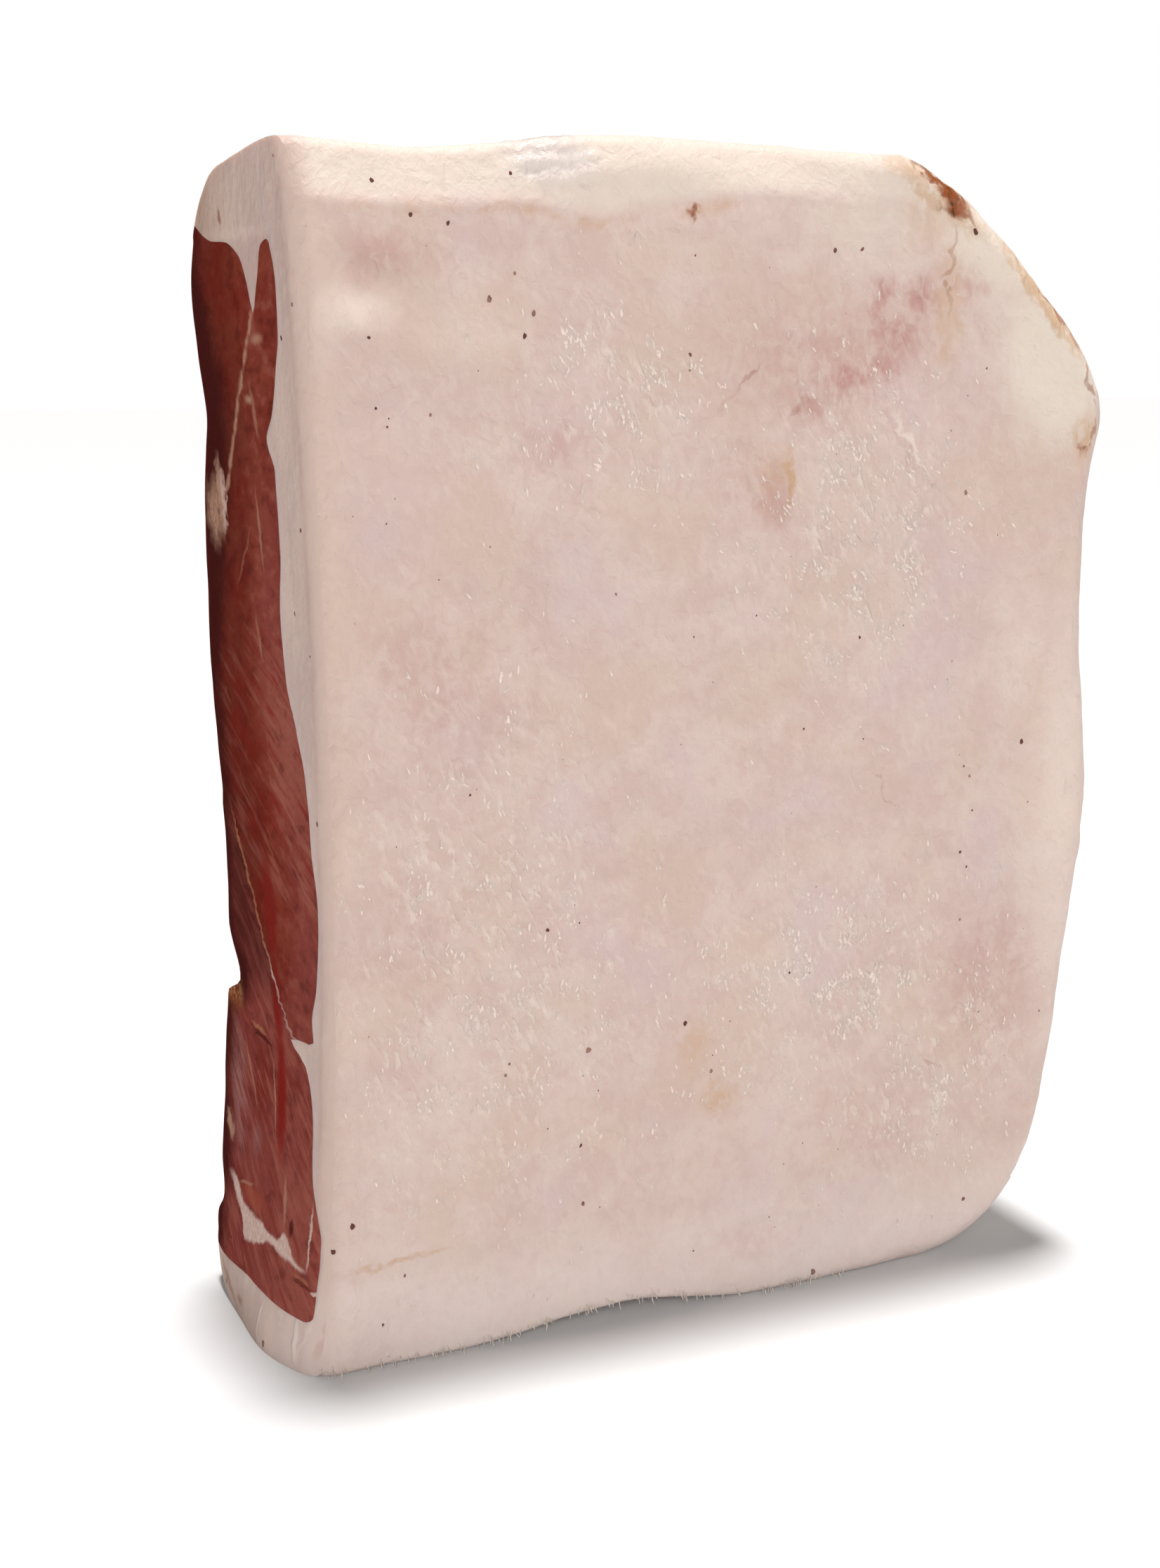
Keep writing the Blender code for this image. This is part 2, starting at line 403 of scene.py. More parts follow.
def cover_side(x, z):
    """Depth of the fat cover's skin, with its bevel. Smaller is further out."""
    border = through(BEVEL_LINE, x * 1000.0) / 1000.0
    climb = (z - border) / (HEIGHT - border)
    depth = BEVEL_DEPTH * (climb + np.sqrt(climb**2 + 0.03)) / 2.0
    depth = depth * (1.0 - ease(0.1000, 0.1350, x))
    for at_x, at_z, reach_x, reach_z, rise in COVER_SWELLINGS:
        depth = depth - rise * swell(x, at_x, reach_x) * swell(z, at_z, reach_z)
    return depth


def block_reaches(x, y, z):
    """How far the edges round over, towards the low sides and towards the high sides."""
    near_end = ease(0.0900, 0.1650, x)
    near_top = ease(0.1900, 0.2150, z)
    near_back = ease(0.40 * DEPTH, 0.60 * DEPTH, y)
    front = mix(SKIN_EDGE, END_EDGE, near_end)
    near_foot = 1.0 - ease(0.0060, 0.0220, z)
    back = mix(mix(SKIN_EDGE, TOP_BACK_EDGE, near_top), FOOT_BACK_DEPTH, near_foot)
    back = mix(back, TOP_BACK_EDGE, near_end)
    end = mix(END_EDGE, END_BACK_EDGE, near_back)
    foot = mix(mix(FOOT_EDGE, FOOT_BACK_HEIGHT, near_back), end, near_end)
    top = mix(front, TOP_BACK_EDGE, near_back)
    return np.stack([np.zeros_like(x), front, foot], 1), np.stack([end, back, top], 1)


def round_over(points, low, high, lows, highs):
    """Rounds the edges around a box's front and back. Its outline in x and z stays square."""
    starts = np.array(low) + lows
    inner = np.clip(points, starts, np.array(high) - highs)
    spans = np.where(points < starts, lows, highs)
    offsets = (points - inner) / spans
    outward = np.maximum(np.abs(offsets[:, 0]), np.abs(offsets[:, 2]))
    length = np.hypot(outward, offsets[:, 1])
    reach = np.maximum(outward, np.abs(offsets[:, 1]))
    shrink = np.where(length > 0.0, reach / np.where(length > 0.0, length, 1.0), 1.0)
    return inner + offsets * spans * shrink[:, None]


def round_corner(x, z, corner, reach_x, reach_z, roundness):
    """Rounds one corner of the outline. A negative reach_z is a lower corner."""
    start_x = corner[0] - reach_x
    start_z = corner[1] - reach_z
    across = (x - start_x) / reach_x
    along = (z - start_z) / reach_z
    inside = (across > 0.0) & (along > 0.0)
    across = np.where(inside, across, 1.0)
    along = np.where(inside, along, 1.0)
    length = (across**roundness + along**roundness) ** (1.0 / roundness)
    shrink = np.maximum(across, along) / length
    rounded_x = np.where(inside, start_x + across * reach_x * shrink, x)
    return rounded_x, np.where(inside, start_z + along * reach_z * shrink, z)


def round_end(x, z, low, high, inset):
    """Rounds both corners of the natural end, with tighter corners on an inset outline."""
    reach_x, reach_z = (reach - inset for reach in UPPER_CORNER)
    x, z = round_corner(x, z, (high[0], high[2]), reach_x, reach_z, UPPER_ROUNDNESS)
    reach_x, reach_z = (reach - inset for reach in LOWER_CORNER)
    return round_corner(x, z, (high[0], low[2]), reach_x, -reach_z, LOWER_ROUNDNESS)


def round_knife_edge(x, y):
    """Rounds the edge between the cut and the cover, which the knife leaves soft."""
    across = np.clip(1.0 - x / KNIFE_EDGE, 0.0, 1.0)
    inward = np.clip(1.0 - y / KNIFE_EDGE, 0.0, 1.0)
    near = (across > 0.0) & (inward > 0.0)
    length = np.where(near, np.hypot(across, inward), 1.0)
    shrink = np.where(near, np.maximum(across, inward) / length, 1.0)
    rounded_x = np.where(near, KNIFE_EDGE * (1.0 - across * shrink), x)
    return rounded_x, np.where(near, KNIFE_EDGE * (1.0 - inward * shrink), y)


def block_form(points):
    """The whole ham, from the points of its plain box."""
    low = (0.0, 0.0, 0.0)
    high = (WIDTH, DEPTH, HEIGHT)
    x, y, z = round_over(points, low, high, *block_reaches(*points.T)).T
    x, y = round_knife_edge(x, y)
    inward = y / DEPTH
    y = mix(cover_side(x, z), meat_side(x, z), inward)
    slope = SEAM_RISE * ease(0.0, WIDTH, x) * inward
    z = z + slope * swell(z, SEAM_HEIGHT, 0.0450) * ease(0.0, FLAT_FOOT_HEIGHT, z)
    x, z = round_end(x, z, low, high, 0.0)
    z = z + (top_line(x) + top_slope(x, y)) * ease(0.1600, HEIGHT, z)
    z = z + foot_line(x, y) * (1.0 - ease(0.0, 0.0600, z))
    x = x + natural_end(z) * ease(0.1000, WIDTH, x)
    x = x + knife_face(y, z) * (1.0 - ease(0.0, 0.0900, x))
    return np.stack([x, y, z], 1)


def lean_form(points):
    """The lean's block, cut square past the knife's face and past the meat side."""
    low = (-OVERCUT, 0.0, LEAN_FLOOR)
    high = (WIDTH - END_FAT, OVERDEPTH, LEAN_TOP)
    lows = np.array((0.0020, 0.0030, 0.0020))
    highs = np.array((0.0050, 0.0020, 0.0030))
    x, y, z = round_over(points, low, high, lows, highs).T
    x, z = round_end(x, z, low, high, END_FAT)
    inward = ease(0.0150, 0.1200, x)
    y = mix(mix(through(FAT_BORDER, z), FAT_AT_END, inward), OVERDEPTH, y / OVERDEPTH)
    at_cut = 1.0 - ease(0.0200, 0.0800, x)
    z = z - through(LEAN_TOP_DROP, y) * at_cut * ease(0.1900, LEAN_TOP, z)
    z = z + top_line(x) * ease(0.1600, HEIGHT, z)
    z = z - 0.0020 * ease(0.0300, 0.0520, y) * (1.0 - ease(LEAN_FLOOR, 0.0400, z))
    x = x + natural_end(z) * ease(0.1000, WIDTH, x)
    places = np.stack([x, y, z], 1)
    near_meat_side = ease(0.0450, 0.0600, y)[:, None]
    sway = np.stack([lumps(places, 0.016, 3), lumps(places, 1.0, 4), lumps(places, 0.013, 5)], 1)
    return places + sway * near_meat_side * 0.0022


# Fine relief, as heights along the surface's own normals

def grooves(lines, across, up):
    """Heights of creases and lips along straight lines. Each fades out past its half width."""
    height = 0.0
    for start, end, width, rise in lines:
        run = np.array(end) - np.array(start)
        share = ((across - start[0]) * run[0] + (up - start[1]) * run[1]) / (run @ run)
        share = np.clip(share, 0.0, 1.0)
        away = np.hypot(across - start[0] - share * run[0], up - start[1] - share * run[1])
        height = height + rise * (1.0 - ease(0.0, width, away))
    return height


def cover_relief(x, z, places, height):
    """The fat cover: soft lumps, torn grain, the trimmed edges' creases and a wet bump."""
    relief = height * (lumps(places, 0.020, 1) + 0.50 * lumps(places, 0.0075, 2))
    relief += 0.26 * height * lumps(places * np.array((1.0, 1.0, 0.55)), 0.0026, 6)
    crease = swell(z, through(FOOT_CREASE, x), 0.0008) * (1.0 - ease(0.0300, 0.0800, x))
    relief -= 0.00022 * crease
    line = through(BEVEL_LINE, x * 1000.0) / 1000.0
    relief += 0.00022 * swell(z, line, 0.0016) * (1.0 - ease(0.0900, 0.1300, x))
    relief += grooves(COVER_GROOVES, x, z)
    arc = np.hypot((x - 0.1030) / 0.0190, (z - 0.0085) / 0.0100)
    relief -= 0.00045 * swell(arc, 1.0, 0.11) * ease(0.0060, 0.0110, z)
    relief += 0.00040 * (1.0 - ease(0.5, 1.0, arc))
    for at_x, at_z, reach_x, reach_z, deep in COVER_HOLLOWS:
        relief -= deep * swell(x, at_x, reach_x) * swell(z, at_z, reach_z)
    wet = swell(x, 0.0525, 0.0100) * swell(z, 0.2380, 0.0045)
    return relief + 0.0012 * wet * (0.30 + 1.1 * lumps(places, 0.0026, 8))


def crust_relief(places, height):
    """The smoked meat side: long muscle furrows, wrinkles and crags. It only sinks in."""
    stretched = places * np.array((0.45, 1.0, 1.0))
    furrows = 0.5 + 0.5 * lumps(stretched, 0.0110, 11)
    wrinkles = ridges(stretched, 0.0052, 12)
    crags = 0.5 + 0.5 * lumps(places, 0.0017, 13)
    return -height * (0.85 * furrows + 0.42 * (1.0 - wrinkles) + 0.30 * crags)


def cut_relief(y, z, places):
    """The cut: the lean has dried in a little, and its seams and grain show."""
    inside = ease(-0.0012, 0.0012, y - through(FAT_BORDER, z))
    inside = inside * ease(LEAN_FLOOR - 0.001, LEAN_FLOOR + 0.001, z)
    inside = inside * (1.0 - ease(LEAN_TOP - 0.0020, LEAN_TOP, z))
    relief = -0.00025 * inside + 0.00012 * lumps(places, 0.0070, 21)
    seam = through(LONG_SEAM, z * 1000.0) / 1000.0
    shown = ease(0.0640, 0.0680, z) * (1.0 - ease(0.1060, 0.1100, z))
    relief -= 0.00040 * swell(y, seam, 0.0012) * shown
    relief += 0.00045 * (1.0 - ease(0.0, 0.0090, y - seam)) * ease(-0.0010, 0.0010, y - seam) * shown
    return relief + grooves(CUT_GROOVES, y, z)


def add_relief(plain, points, normals, form):
    """Moves each point along its normal. plain holds the same points on the plain box."""
    u, v, w = plain.T
    x, y, z = points.T
    cover = 1.0 - ease(0.0, 0.0050, v)
    cut = 1.0 - ease(0.0, 0.0030, u)
    crust = ease(DEPTH - 0.0120, DEPTH - 0.0010, v)
    foot = 1.0 - ease(0.0, 0.0030, w)
    elsewhere = (1.0 - cover) * (1.0 - cut) * (1.0 - crust) * (1.0 - foot)
    height = cover * (1.0 - cut) * cover_relief(x, z, points, form.cover_relief)
    height += crust * (1.0 - cut) * crust_relief(points, form.crust_relief)
    height += cut * (1.0 - cover) * cut_relief(y, z, points)
    rough = 1.4 * lumps(points, 0.010, 9) + 0.5 * lumps(points, 0.003, 10)
    height += elsewhere * form.cover_relief * rough
    return points + normals * height[:, None]


# Meshes

def rows(start, end, spacing, crowding=0.55):
    """Places to slice at, closer together near both ends, where the form rounds over."""
    even = np.linspace(0.0, 1.0, max(2, round((end - start) / spacing)) + 1)
    crowded = 0.5 - 0.5 * np.cos(math.pi * even)
    return mix(start, end, mix(even, crowded, crowding))


def shell(xs, ys, zs):
    """Points and faces of a closed box sliced at these places, and which side each face is on."""
    numbers = np.full((len(xs), len(ys), len(zs)), -1)
    outer = np.zeros(numbers.shape, bool)
    for axis in range(3):
        side = np.moveaxis(outer, axis, 0)
        side[0] = True
        side[-1] = True
    numbers[outer] = np.arange(outer.sum())
    points = np.stack(np.meshgrid(xs, ys, zs, indexing="ij"), -1)[outer]
    faces = []
    sides = []
    for axis in range(3):
        for end in (0, -1):
            grid = np.moveaxis(numbers, axis, 0)[end]
            quads = np.stack([grid[:-1, :-1], grid[1:, :-1], grid[1:, 1:], grid[:-1, 1:]], -1)
            quads = quads.reshape(-1, 4)
            if (axis != 1) == (end == 0):
                quads = quads[:, ::-1]
            faces.append(quads)
            sides.append(np.full(len(quads), axis * 2 - end))
    return points, np.concatenate(faces), np.concatenate(sides)


# The side of the shell that the knife made, and the slots for the block's sides and the lean's
CUT_SIDE = 0
OUTSIDE_SLOT = 0
CUT_SLOT = 1
LEAN_SLOT = 2


def new_mesh(name, points, faces):
    mesh = bpy.data.meshes.new(name)
    mesh.from_pydata(points, [], faces)
    mesh.update()
    return mesh


def each_vertex(mesh, name):
    """Every vertex's place, called co, or its normal, as rows of three numbers."""
    values = np.empty(len(mesh.vertices) * 3, np.float32)
    mesh.vertices.foreach_get(name, values)
    return values.reshape(-1, 3).astype(float)


def move_points(mesh, points):
    mesh.vertices.foreach_set("co", points.astype(np.float32).ravel())
    mesh.update()


def keep_inside(mesh):
    """Holds every point inside the construction's box."""
    move_points(mesh, np.clip(each_vertex(mesh, "co"), np.array(CAD_LOW), np.array(CAD_HIGH)))


def standing_shift(points):
    """The move that centres the ham over the origin and sets its foot on the floor."""
    low, high = points.min(0), points.max(0)
    return np.array((-(low[0] + high[0]) / 2, -(low[1] + high[1]) / 2, -low[2]))


def fine_block(form):
    """The whole ham with its fine relief, and the shift that stands it on the floor."""
    spacing = form.row_spacing
    plain, faces, sides = shell(
        rows(0.0, WIDTH, spacing), rows(0.0, DEPTH, spacing), rows(0.0, HEIGHT, spacing)
    )
    points = block_form(plain)
    shift = standing_shift(points)
    mesh = new_mesh("ham_block", points.tolist(), faces.tolist())
    raised = add_relief(plain, points, each_vertex(mesh, "normal"), form)
    move_points(mesh, raised + shift)
    slots = np.where(sides == CUT_SIDE, CUT_SLOT, OUTSIDE_SLOT)
    mesh.polygons.foreach_set("material_index", slots.astype(np.int32))
    return mesh, shift


def fine_lean(form, shift):
    """The lean's block, with its faces in the slot for what it cuts."""
    spacing = form.row_spacing
    xs = rows(-OVERCUT, WIDTH - END_FAT, 0.0100)
    ys = rows(0.0, OVERDEPTH, spacing * 1.1, 0.30)
    zs = rows(LEAN_FLOOR, LEAN_TOP, spacing * 0.8, 0.20)
    plain, faces, _ = shell(xs, ys, zs)
    mesh = new_mesh("lean_block", (lean_form(plain) + shift).tolist(), faces.tolist())
    mesh.polygons.foreach_set("material_index", np.full(len(faces), LEAN_SLOT, np.int32))
    return mesh


def add_piece(name, data):
    """An object of the scene, from its mesh, light or camera."""
    piece = bpy.data.objects.new(name, data)
    bpy.context.scene.collection.objects.link(piece)
    return piece


def dress_sides(mesh, finishes):
    """Puts the finishes in the mesh's slots. Clearing the slots would lose which side has which."""
    while len(mesh.materials) < len(finishes):
        mesh.materials.append(None)
    for slot, finish in enumerate(finishes):
        mesh.materials[slot] = finish


def carved(name, mesh, operation, tool, finishes):
    """A new mesh: the mesh with the tool's form taken away, or only what lies inside it."""
    dress_sides(mesh, finishes)
    dress_sides(tool.data, finishes)
    item = add_piece(name, mesh)
    step = item.modifiers.new("carve", "BOOLEAN")
    step.operation = operation
    step.solver = "MANIFOLD"
    step.object = tool
    graph = bpy.context.evaluated_depsgraph_get()
    made = bpy.data.meshes.new_from_object(item.evaluated_get(graph))
    bpy.data.objects.remove(item)
    if len(made.polygons) == 0:
        raise RuntimeError(name + " came out empty")
    made.name = name
    return made


def smooth(mesh, sharp_angle=40.0):
    mesh.shade_smooth()
    mesh.set_sharp_from_angle(angle=math.radians(sharp_angle))


# Materials

class Field:
    """A value over a surface. Its operators add Math nodes, or Vector Math nodes for vectors."""

    def __init__(self, nodes, socket):
        self.nodes = nodes
        self.socket = socket

    def work(self, operation, first, second):
        kind = "ShaderNodeMath" if self.socket.type == "VALUE" else "ShaderNodeVectorMath"
        return self.nodes.node(kind, {"operation": operation}, {0: first, 1: second})

    def __add__(self, other):
        return self.work("ADD", self, other)

    def __radd__(self, other):
        return self.work("ADD", other, self)

    def __sub__(self, other):
        return self.work("SUBTRACT", self, other)

    def __rsub__(self, other):
        return self.work("SUBTRACT", other, self)

    def __mul__(self, other):
        return self.work("MULTIPLY", self, other)

    def __rmul__(self, other):
        return self.work("MULTIPLY", other, self)

    def __truediv__(self, other):
        return self.work("DIVIDE", self, other)

    def __abs__(self):
        return self.nodes.node("ShaderNodeMath", {"operation": "ABSOLUTE"}, {0: self})


class Nodes:
    """Builds the nodes of a material or of the world."""

    def __init__(self, owner):
        owner.use_nodes = True
        self.tree = owner.node_tree
        self.tree.nodes.clear()

    def node(self, kind, settings=None, inputs=None, output=0):
        """Adds a node of any kind, with its settings and its inputs' values or links."""
        made = self.tree.nodes.new(kind)
        for name, value in (settings or {}).items():
            if name == "points":
                self.set_points(made.mapping, value)
            else:
                setattr(made, name, value)
        for name, value in (inputs or {}).items():
            if isinstance(value, Field):
                self.tree.links.new(value.socket, made.inputs[name])
            else:
                made.inputs[name].default_value = value
        return Field(self, made.outputs[output]) if made.outputs else None

    def set_points(self, mapping, points):
        """Draws a curve node's line through points."""
        line = mapping.curves[0]
        while len(line.points) < len(points):
            line.points.new(0.5, 0.5)
        for mark, (across, up) in zip(line.points, points):
            mark.location = (across, up)
            mark.handle_type = "AUTO_CLAMPED"
        mapping.update()


class Finish(Nodes):
    """A material, made node by node. Places on it are in millimetres."""

    def __init__(self, name, on_cut=False):
        self.material = bpy.data.materials.new(name)
        super().__init__(self.material)
        self.on_cut = on_cut
        self.colour = None
        here = self.node("ShaderNodeTexCoord", output="Object")
        self.place = (here - SHIFT) * (1000.0, 1000.0, 1000.0)
        self.x, self.depth, self.z = self.parts(self.place)

    def parts(self, vector):
        """The x, y and z of a vector."""
        split = self.node("ShaderNodeSeparateXYZ", inputs={0: vector})
        sockets = split.socket.node.outputs
        return [Field(self, sockets[axis]) for axis in range(3)]

    def rises(self, value, start, end):
        """0 up to start and 1 from end on, smoothly. It falls where end is below start."""
        inputs = {"Value": value, "From Min": start, "From Max": end}
        return self.node("ShaderNodeMapRange", {"interpolation_type": "SMOOTHSTEP"}, inputs)

    def near(self, value, centre, reach):
        """1 where value is at centre, 0 where it is further off than reach."""
        return self.rises(abs(value - centre), reach, 0.0)

    def follow(self, value, marks):
        """A smooth curve through marks of (place, height)."""
        points = [(place / CURVE_SPAN, height / CURVE_SPAN) for place, height in marks]
        inputs = {"Factor": 1.0, "Value": value / CURVE_SPAN}
        return self.node("ShaderNodeFloatCurve", {"points": points}, inputs) * CURVE_SPAN

    def noise(self, size, seed=0.0, stretch=(1.0, 1.0, 1.0), detail=2.0, curl=0.0, place=None, output=0):
        """Random values around 0.5, with features of about that size."""
        scale = tuple(step / size for step in stretch)
        placed = (place or self.place) * scale + (seed, seed * 1.7, seed * 0.6)
        inputs = {"Vector": placed, "Scale": 1.0, "Detail": detail, "Distortion": curl}
        return self.node("ShaderNodeTexNoise", {"noise_dimensions": "3D"}, inputs, output)

    def strayed(self, size, reach, seed):
        """Places that stray up to reach to each side, so that marks come out uneven."""
        stray = self.noise(size, seed=seed, output="Color")
        return self.place + (stray - (0.5, 0.5, 0.5)) * (reach * 4.0, reach * 4.0, reach * 4.0)

    def flat(self, across, up):
        """A vector from a place on the cover (x, z), or on the cut (depth, z)."""
        return (0.0, across, up) if self.on_cut else (across, 0.0, up)

    def spot(self, centre, reach, soft=0.0, place=None):
        """1 at a round or oval place, 0 outside it."""
        scaled = (place or self.place) * self.flat(1.0 / reach[0], 1.0 / reach[1])
        middle = self.flat(centre[0] / reach[0], centre[1] / reach[1])
        ends = {0: scaled, 1: middle}
        away = self.node("ShaderNodeVectorMath", {"operation": "DISTANCE"}, ends, "Value")
        return self.rises(away, 1.0, soft)

    def stroke(self, start, end, width, place=None):
        """1 along a thin mark that tapers to both ends, 0 past its half width."""
        half = math.dist(start, end) / 2.0
        along = ((end[0] - start[0]) / (2.0 * half), (end[1] - start[1]) / (2.0 * half))
        centre = self.flat((start[0] + end[0]) / 2.0, (start[1] + end[1]) / 2.0)
        offset = (place or self.place) - centre
        run = {"operation": "DOT_PRODUCT"}
        ahead = {0: offset, 1: self.flat(along[0] / half, along[1] / half)}
        aside = {0: offset, 1: self.flat(-along[1] / width, along[0] / width)}
        first = self.node("ShaderNodeVectorMath", run, ahead, "Value")
        second = self.node("ShaderNodeVectorMath", run, aside, "Value")
        return self.rises(first * first + second * second, 1.0, 0.0)

    def higher(self, first, second):
        """The higher of two values."""
        return self.node("ShaderNodeMath", {"operation": "MAXIMUM"}, {0: first, 1: second})

    def strongest(self, marks):
        """The highest of many values."""
        return functools.reduce(self.higher, marks)

    def spots(self, marks, place=None):
        """The strongest of many spots: centre, reach, strength and, on firm edges, how firm."""
        found = [self.spot(at, reach, *firm, place=place) * much for at, reach, much, *firm in marks]
        return self.strongest(found)

    def strokes(self, marks, place=None):
        """The strongest of many strokes: start, end, half width and strength."""
        found = [self.stroke(start, end, width, place) * much for start, end, width, much in marks]
        return self.strongest(found)

    def blend(self, share, first, second):
        """From the first colour to the second, as share goes from 0 to 1."""
        settings = {"data_type": "RGBA", "clamp_factor": True}
        ends = [end if isinstance(end, Field) else (*end, 1.0) for end in (first, second)]
        return self.node("ShaderNodeMix", settings, {0: share, 6: ends[0], 7: ends[1]}, output=2)

    def lay(self, share, tone):
        """Lays a tone over the colour so far, as share goes from 0 to 1."""
        self.colour = self.blend(share, self.colour, tone)

    def surface(self, roughness, height, constants, coat=0.0):
        """The shader and the output. Heights are in millimetres. Constants go on its sockets."""
        heights = {"Strength": 1.0, "Distance": 0.001, "Height": height}
        varying = {
            "Base Color": self.colour,
            "Roughness": roughness,
            "Normal": self.node("ShaderNodeBump", inputs=heights),
            "Coat Weight": coat,
        }
        shader = self.node("ShaderNodeBsdfPrincipled", inputs={**varying, **constants}, output="BSDF")
        self.node("ShaderNodeOutputMaterial", inputs={"Surface": shader})
        return self.material


# Every place on the ham is lower than this, in millimetres
CURVE_SPAN = 260.0

# How the light goes into the fat, the lean and the crust, and comes off them
FAT_LIGHT = {
    "IOR": 1.42,
    "Specular IOR Level": 0.22,
    "Subsurface Weight": 0.30,
    "Subsurface Radius": (1.0, 0.55, 0.42),
    "Subsurface Scale": 0.0028,
}
LEAN_LIGHT = {
    "IOR": 1.40,
    "Specular IOR Level": 0.0,
    "Coat Roughness": 0.22,
    "Subsurface Weight": 0.06,
    "Subsurface Radius": (1.0, 0.30, 0.20),
    "Subsurface Scale": 0.0016,
}
CRUST_LIGHT = {"IOR": 1.42, "Specular IOR Level": 0.12, "Coat Roughness": 0.30}
TRIM_LIGHT = {"IOR": 1.42}

# Marks on the cover are placed by x and z in millimetres, and marks on the cut by depth and z.
# A spot is its centre, reach, strength and, on a firm edge, how firm. A stroke is its start,
# end, half width and strength.

# Fields of torn fibres on the cover: centre, reach and how far the fibres lean, in radians
FIBRE_FIELDS = (
    ((121.0, 168.0), (34.0, 44.0), -0.55),
    ((38.0, 82.0), (48.0, 76.0), -0.10),
    ((117.0, 70.0), (42.0, 30.0), -0.20),
    ((140.0, 42.0), (34.0, 34.0), -0.20),
    ((66.0, 196.0), (26.0, 24.0), -0.30),
)

# The numbers of the fields that a shred can fall in. Those with more shreds are there twice.
FIELD_SHARES = (0, 0, 1, 1, 2, 2, 3, 4)

# Spots on the cover: rosy patches with painted shade in two hollows, pale patches with a painted highlight
# on a ridge, and the cream shoulder
FLUSHED_AND_PAINTED_SHADE = (
    ((133.0, 213.0), (8.0, 7.0), 1.0),
    ((124.3, 213.0), (5.5, 8.0), 1.0),
    ((128.0, 206.5), (11.0, 9.0), 1.0),
    ((117.0, 197.6), (8.5, 6.0), 1.0),
    ((125.0, 199.5), (8.5, 8.0), 0.90),
    ((107.8, 191.9), (7.0, 4.5), 0.70),
    ((145.3, 216.4), (8.0, 4.5), 0.75),
    ((112.0, 200.0), (36.0, 22.0), 0.46),
    # This spot and the next are painted shade, laid over the two hollows of the cover
    ((18.0, 220.5), (15.0, 7.5), 0.50),
    ((53.4, 187.0), (12.0, 10.0), 0.36),
    ((156.0, 66.0), (20.0, 28.0), 0.42),
    ((101.0, 12.0), (21.0, 8.0), 0.50),
    ((96.0, 179.0), (13.0, 15.0), 0.40),
    ((126.0, 34.0), (22.0, 16.0), 0.22),
    ((26.0, 138.0), (30.0, 30.0), 0.36),
    ((22.0, 88.0), (22.0, 24.0), 0.22),
)
PALED_AND_PAINTED_HIGHLIGHT = (
    # The first spot is a painted highlight on the soft ridge at the top left
    ((11.0, 210.5), (13.0, 6.5), 0.85),
    ((36.0, 206.0), (16.0, 11.0), 0.30),
    ((24.0, 231.0), (30.0, 4.0), 0.18),
    ((162.0, 140.0), (16.0, 34.0), 0.30),
    ((174.0, 104.0), (15.0, 82.0), 0.62),
    ((30.0, 60.0), (8.0, 34.0), 0.24),
)
SHOULDER = (
    ((169.0, 203.0), (21.0, 26.0), 1.0, 0.45),
    ((122.0, 229.0), (26.0, 11.0), 0.55, 0.1),
)

# Golden smears on the cover. Soft ones are a little uneven, and torn ones are ragged.
SOFT_SMEARS = (
    ((5.0, 21.8), (32.0, 23.4), 1.0, 0.60),
    ((103.0, 187.0), (103.5, 168.0), 1.8, 0.85),
    ((122.0, 243.5), (152.0, 224.0), 5.0, 0.70),
)
TORN_SMEARS = (
    ((140.0, 228.0), (139.5, 196.0), 4.4, 0.46),
    ((150.0, 229.0), (177.0, 198.0), 3.4, 0.85),
)
SOFT_STAINS = (
    ((89.0, 47.0), (7.0, 5.5), 0.65),
    ((83.0, 60.0), (6.0, 10.0), 0.40),
    ((134.0, 229.0), (9.0, 9.0), 0.40),
)
TORN_STAINS = (
    ((100.0, 177.0), (7.0, 10.0), 0.34),
    ((176.0, 184.0), (4.0, 8.0), 0.80),
)

# Rust-brown marks on the cover: the crack below the trimmed corner and the rim, scratches, spots
CRACK_AND_RIM = (
    ((140.6, 231.0), (140.0, 208.0), 0.6, 0.34),
    ((160.8, 220.2), (176.2, 200.6), 0.9, 0.62),
    ((175.2, 203.0), (178.8, 189.0), 0.8, 0.60),
    ((178.8, 190.0), (176.2, 179.0), 0.8, 0.55),
)
SCRATCHES = (
    ((91.0, 196.0), (97.5, 200.5), 0.8, 0.34),
    ((86.0, 189.0), (92.0, 197.5), 0.8, 0.14),
    ((130.0, 56.0), (138.0, 51.0), 0.5, 0.26),
    ((139.0, 49.0), (146.0, 46.4), 0.5, 0.28),
    ((124.0, 118.0), (131.0, 105.0), 0.5, 0.20),
    ((103.5, 189.5), (107.5, 194.0), 1.6, 0.26),
)
RUST_SPOTS = (
    ((80.8, 229.2), (2.2, 1.6), 0.90),
    ((175.4, 181.5), (1.4, 1.8), 0.85),
)

# Marks on the cut fat: pale threads, and rusty stains
THREADS = (
    ((21.3, 10.5), (20.6, -1.0), 0.6, 1.0),
    ((8.0, 12.0), (6.4, 0.0), 0.9, 1.0),
)
CUT_STAINS = (
    ((52.0, 8.0), (34.0, 0.5), 1.2, 0.60),
    ((39.3, 231.0), (38.6, 226.8), 0.9, 0.75),
)

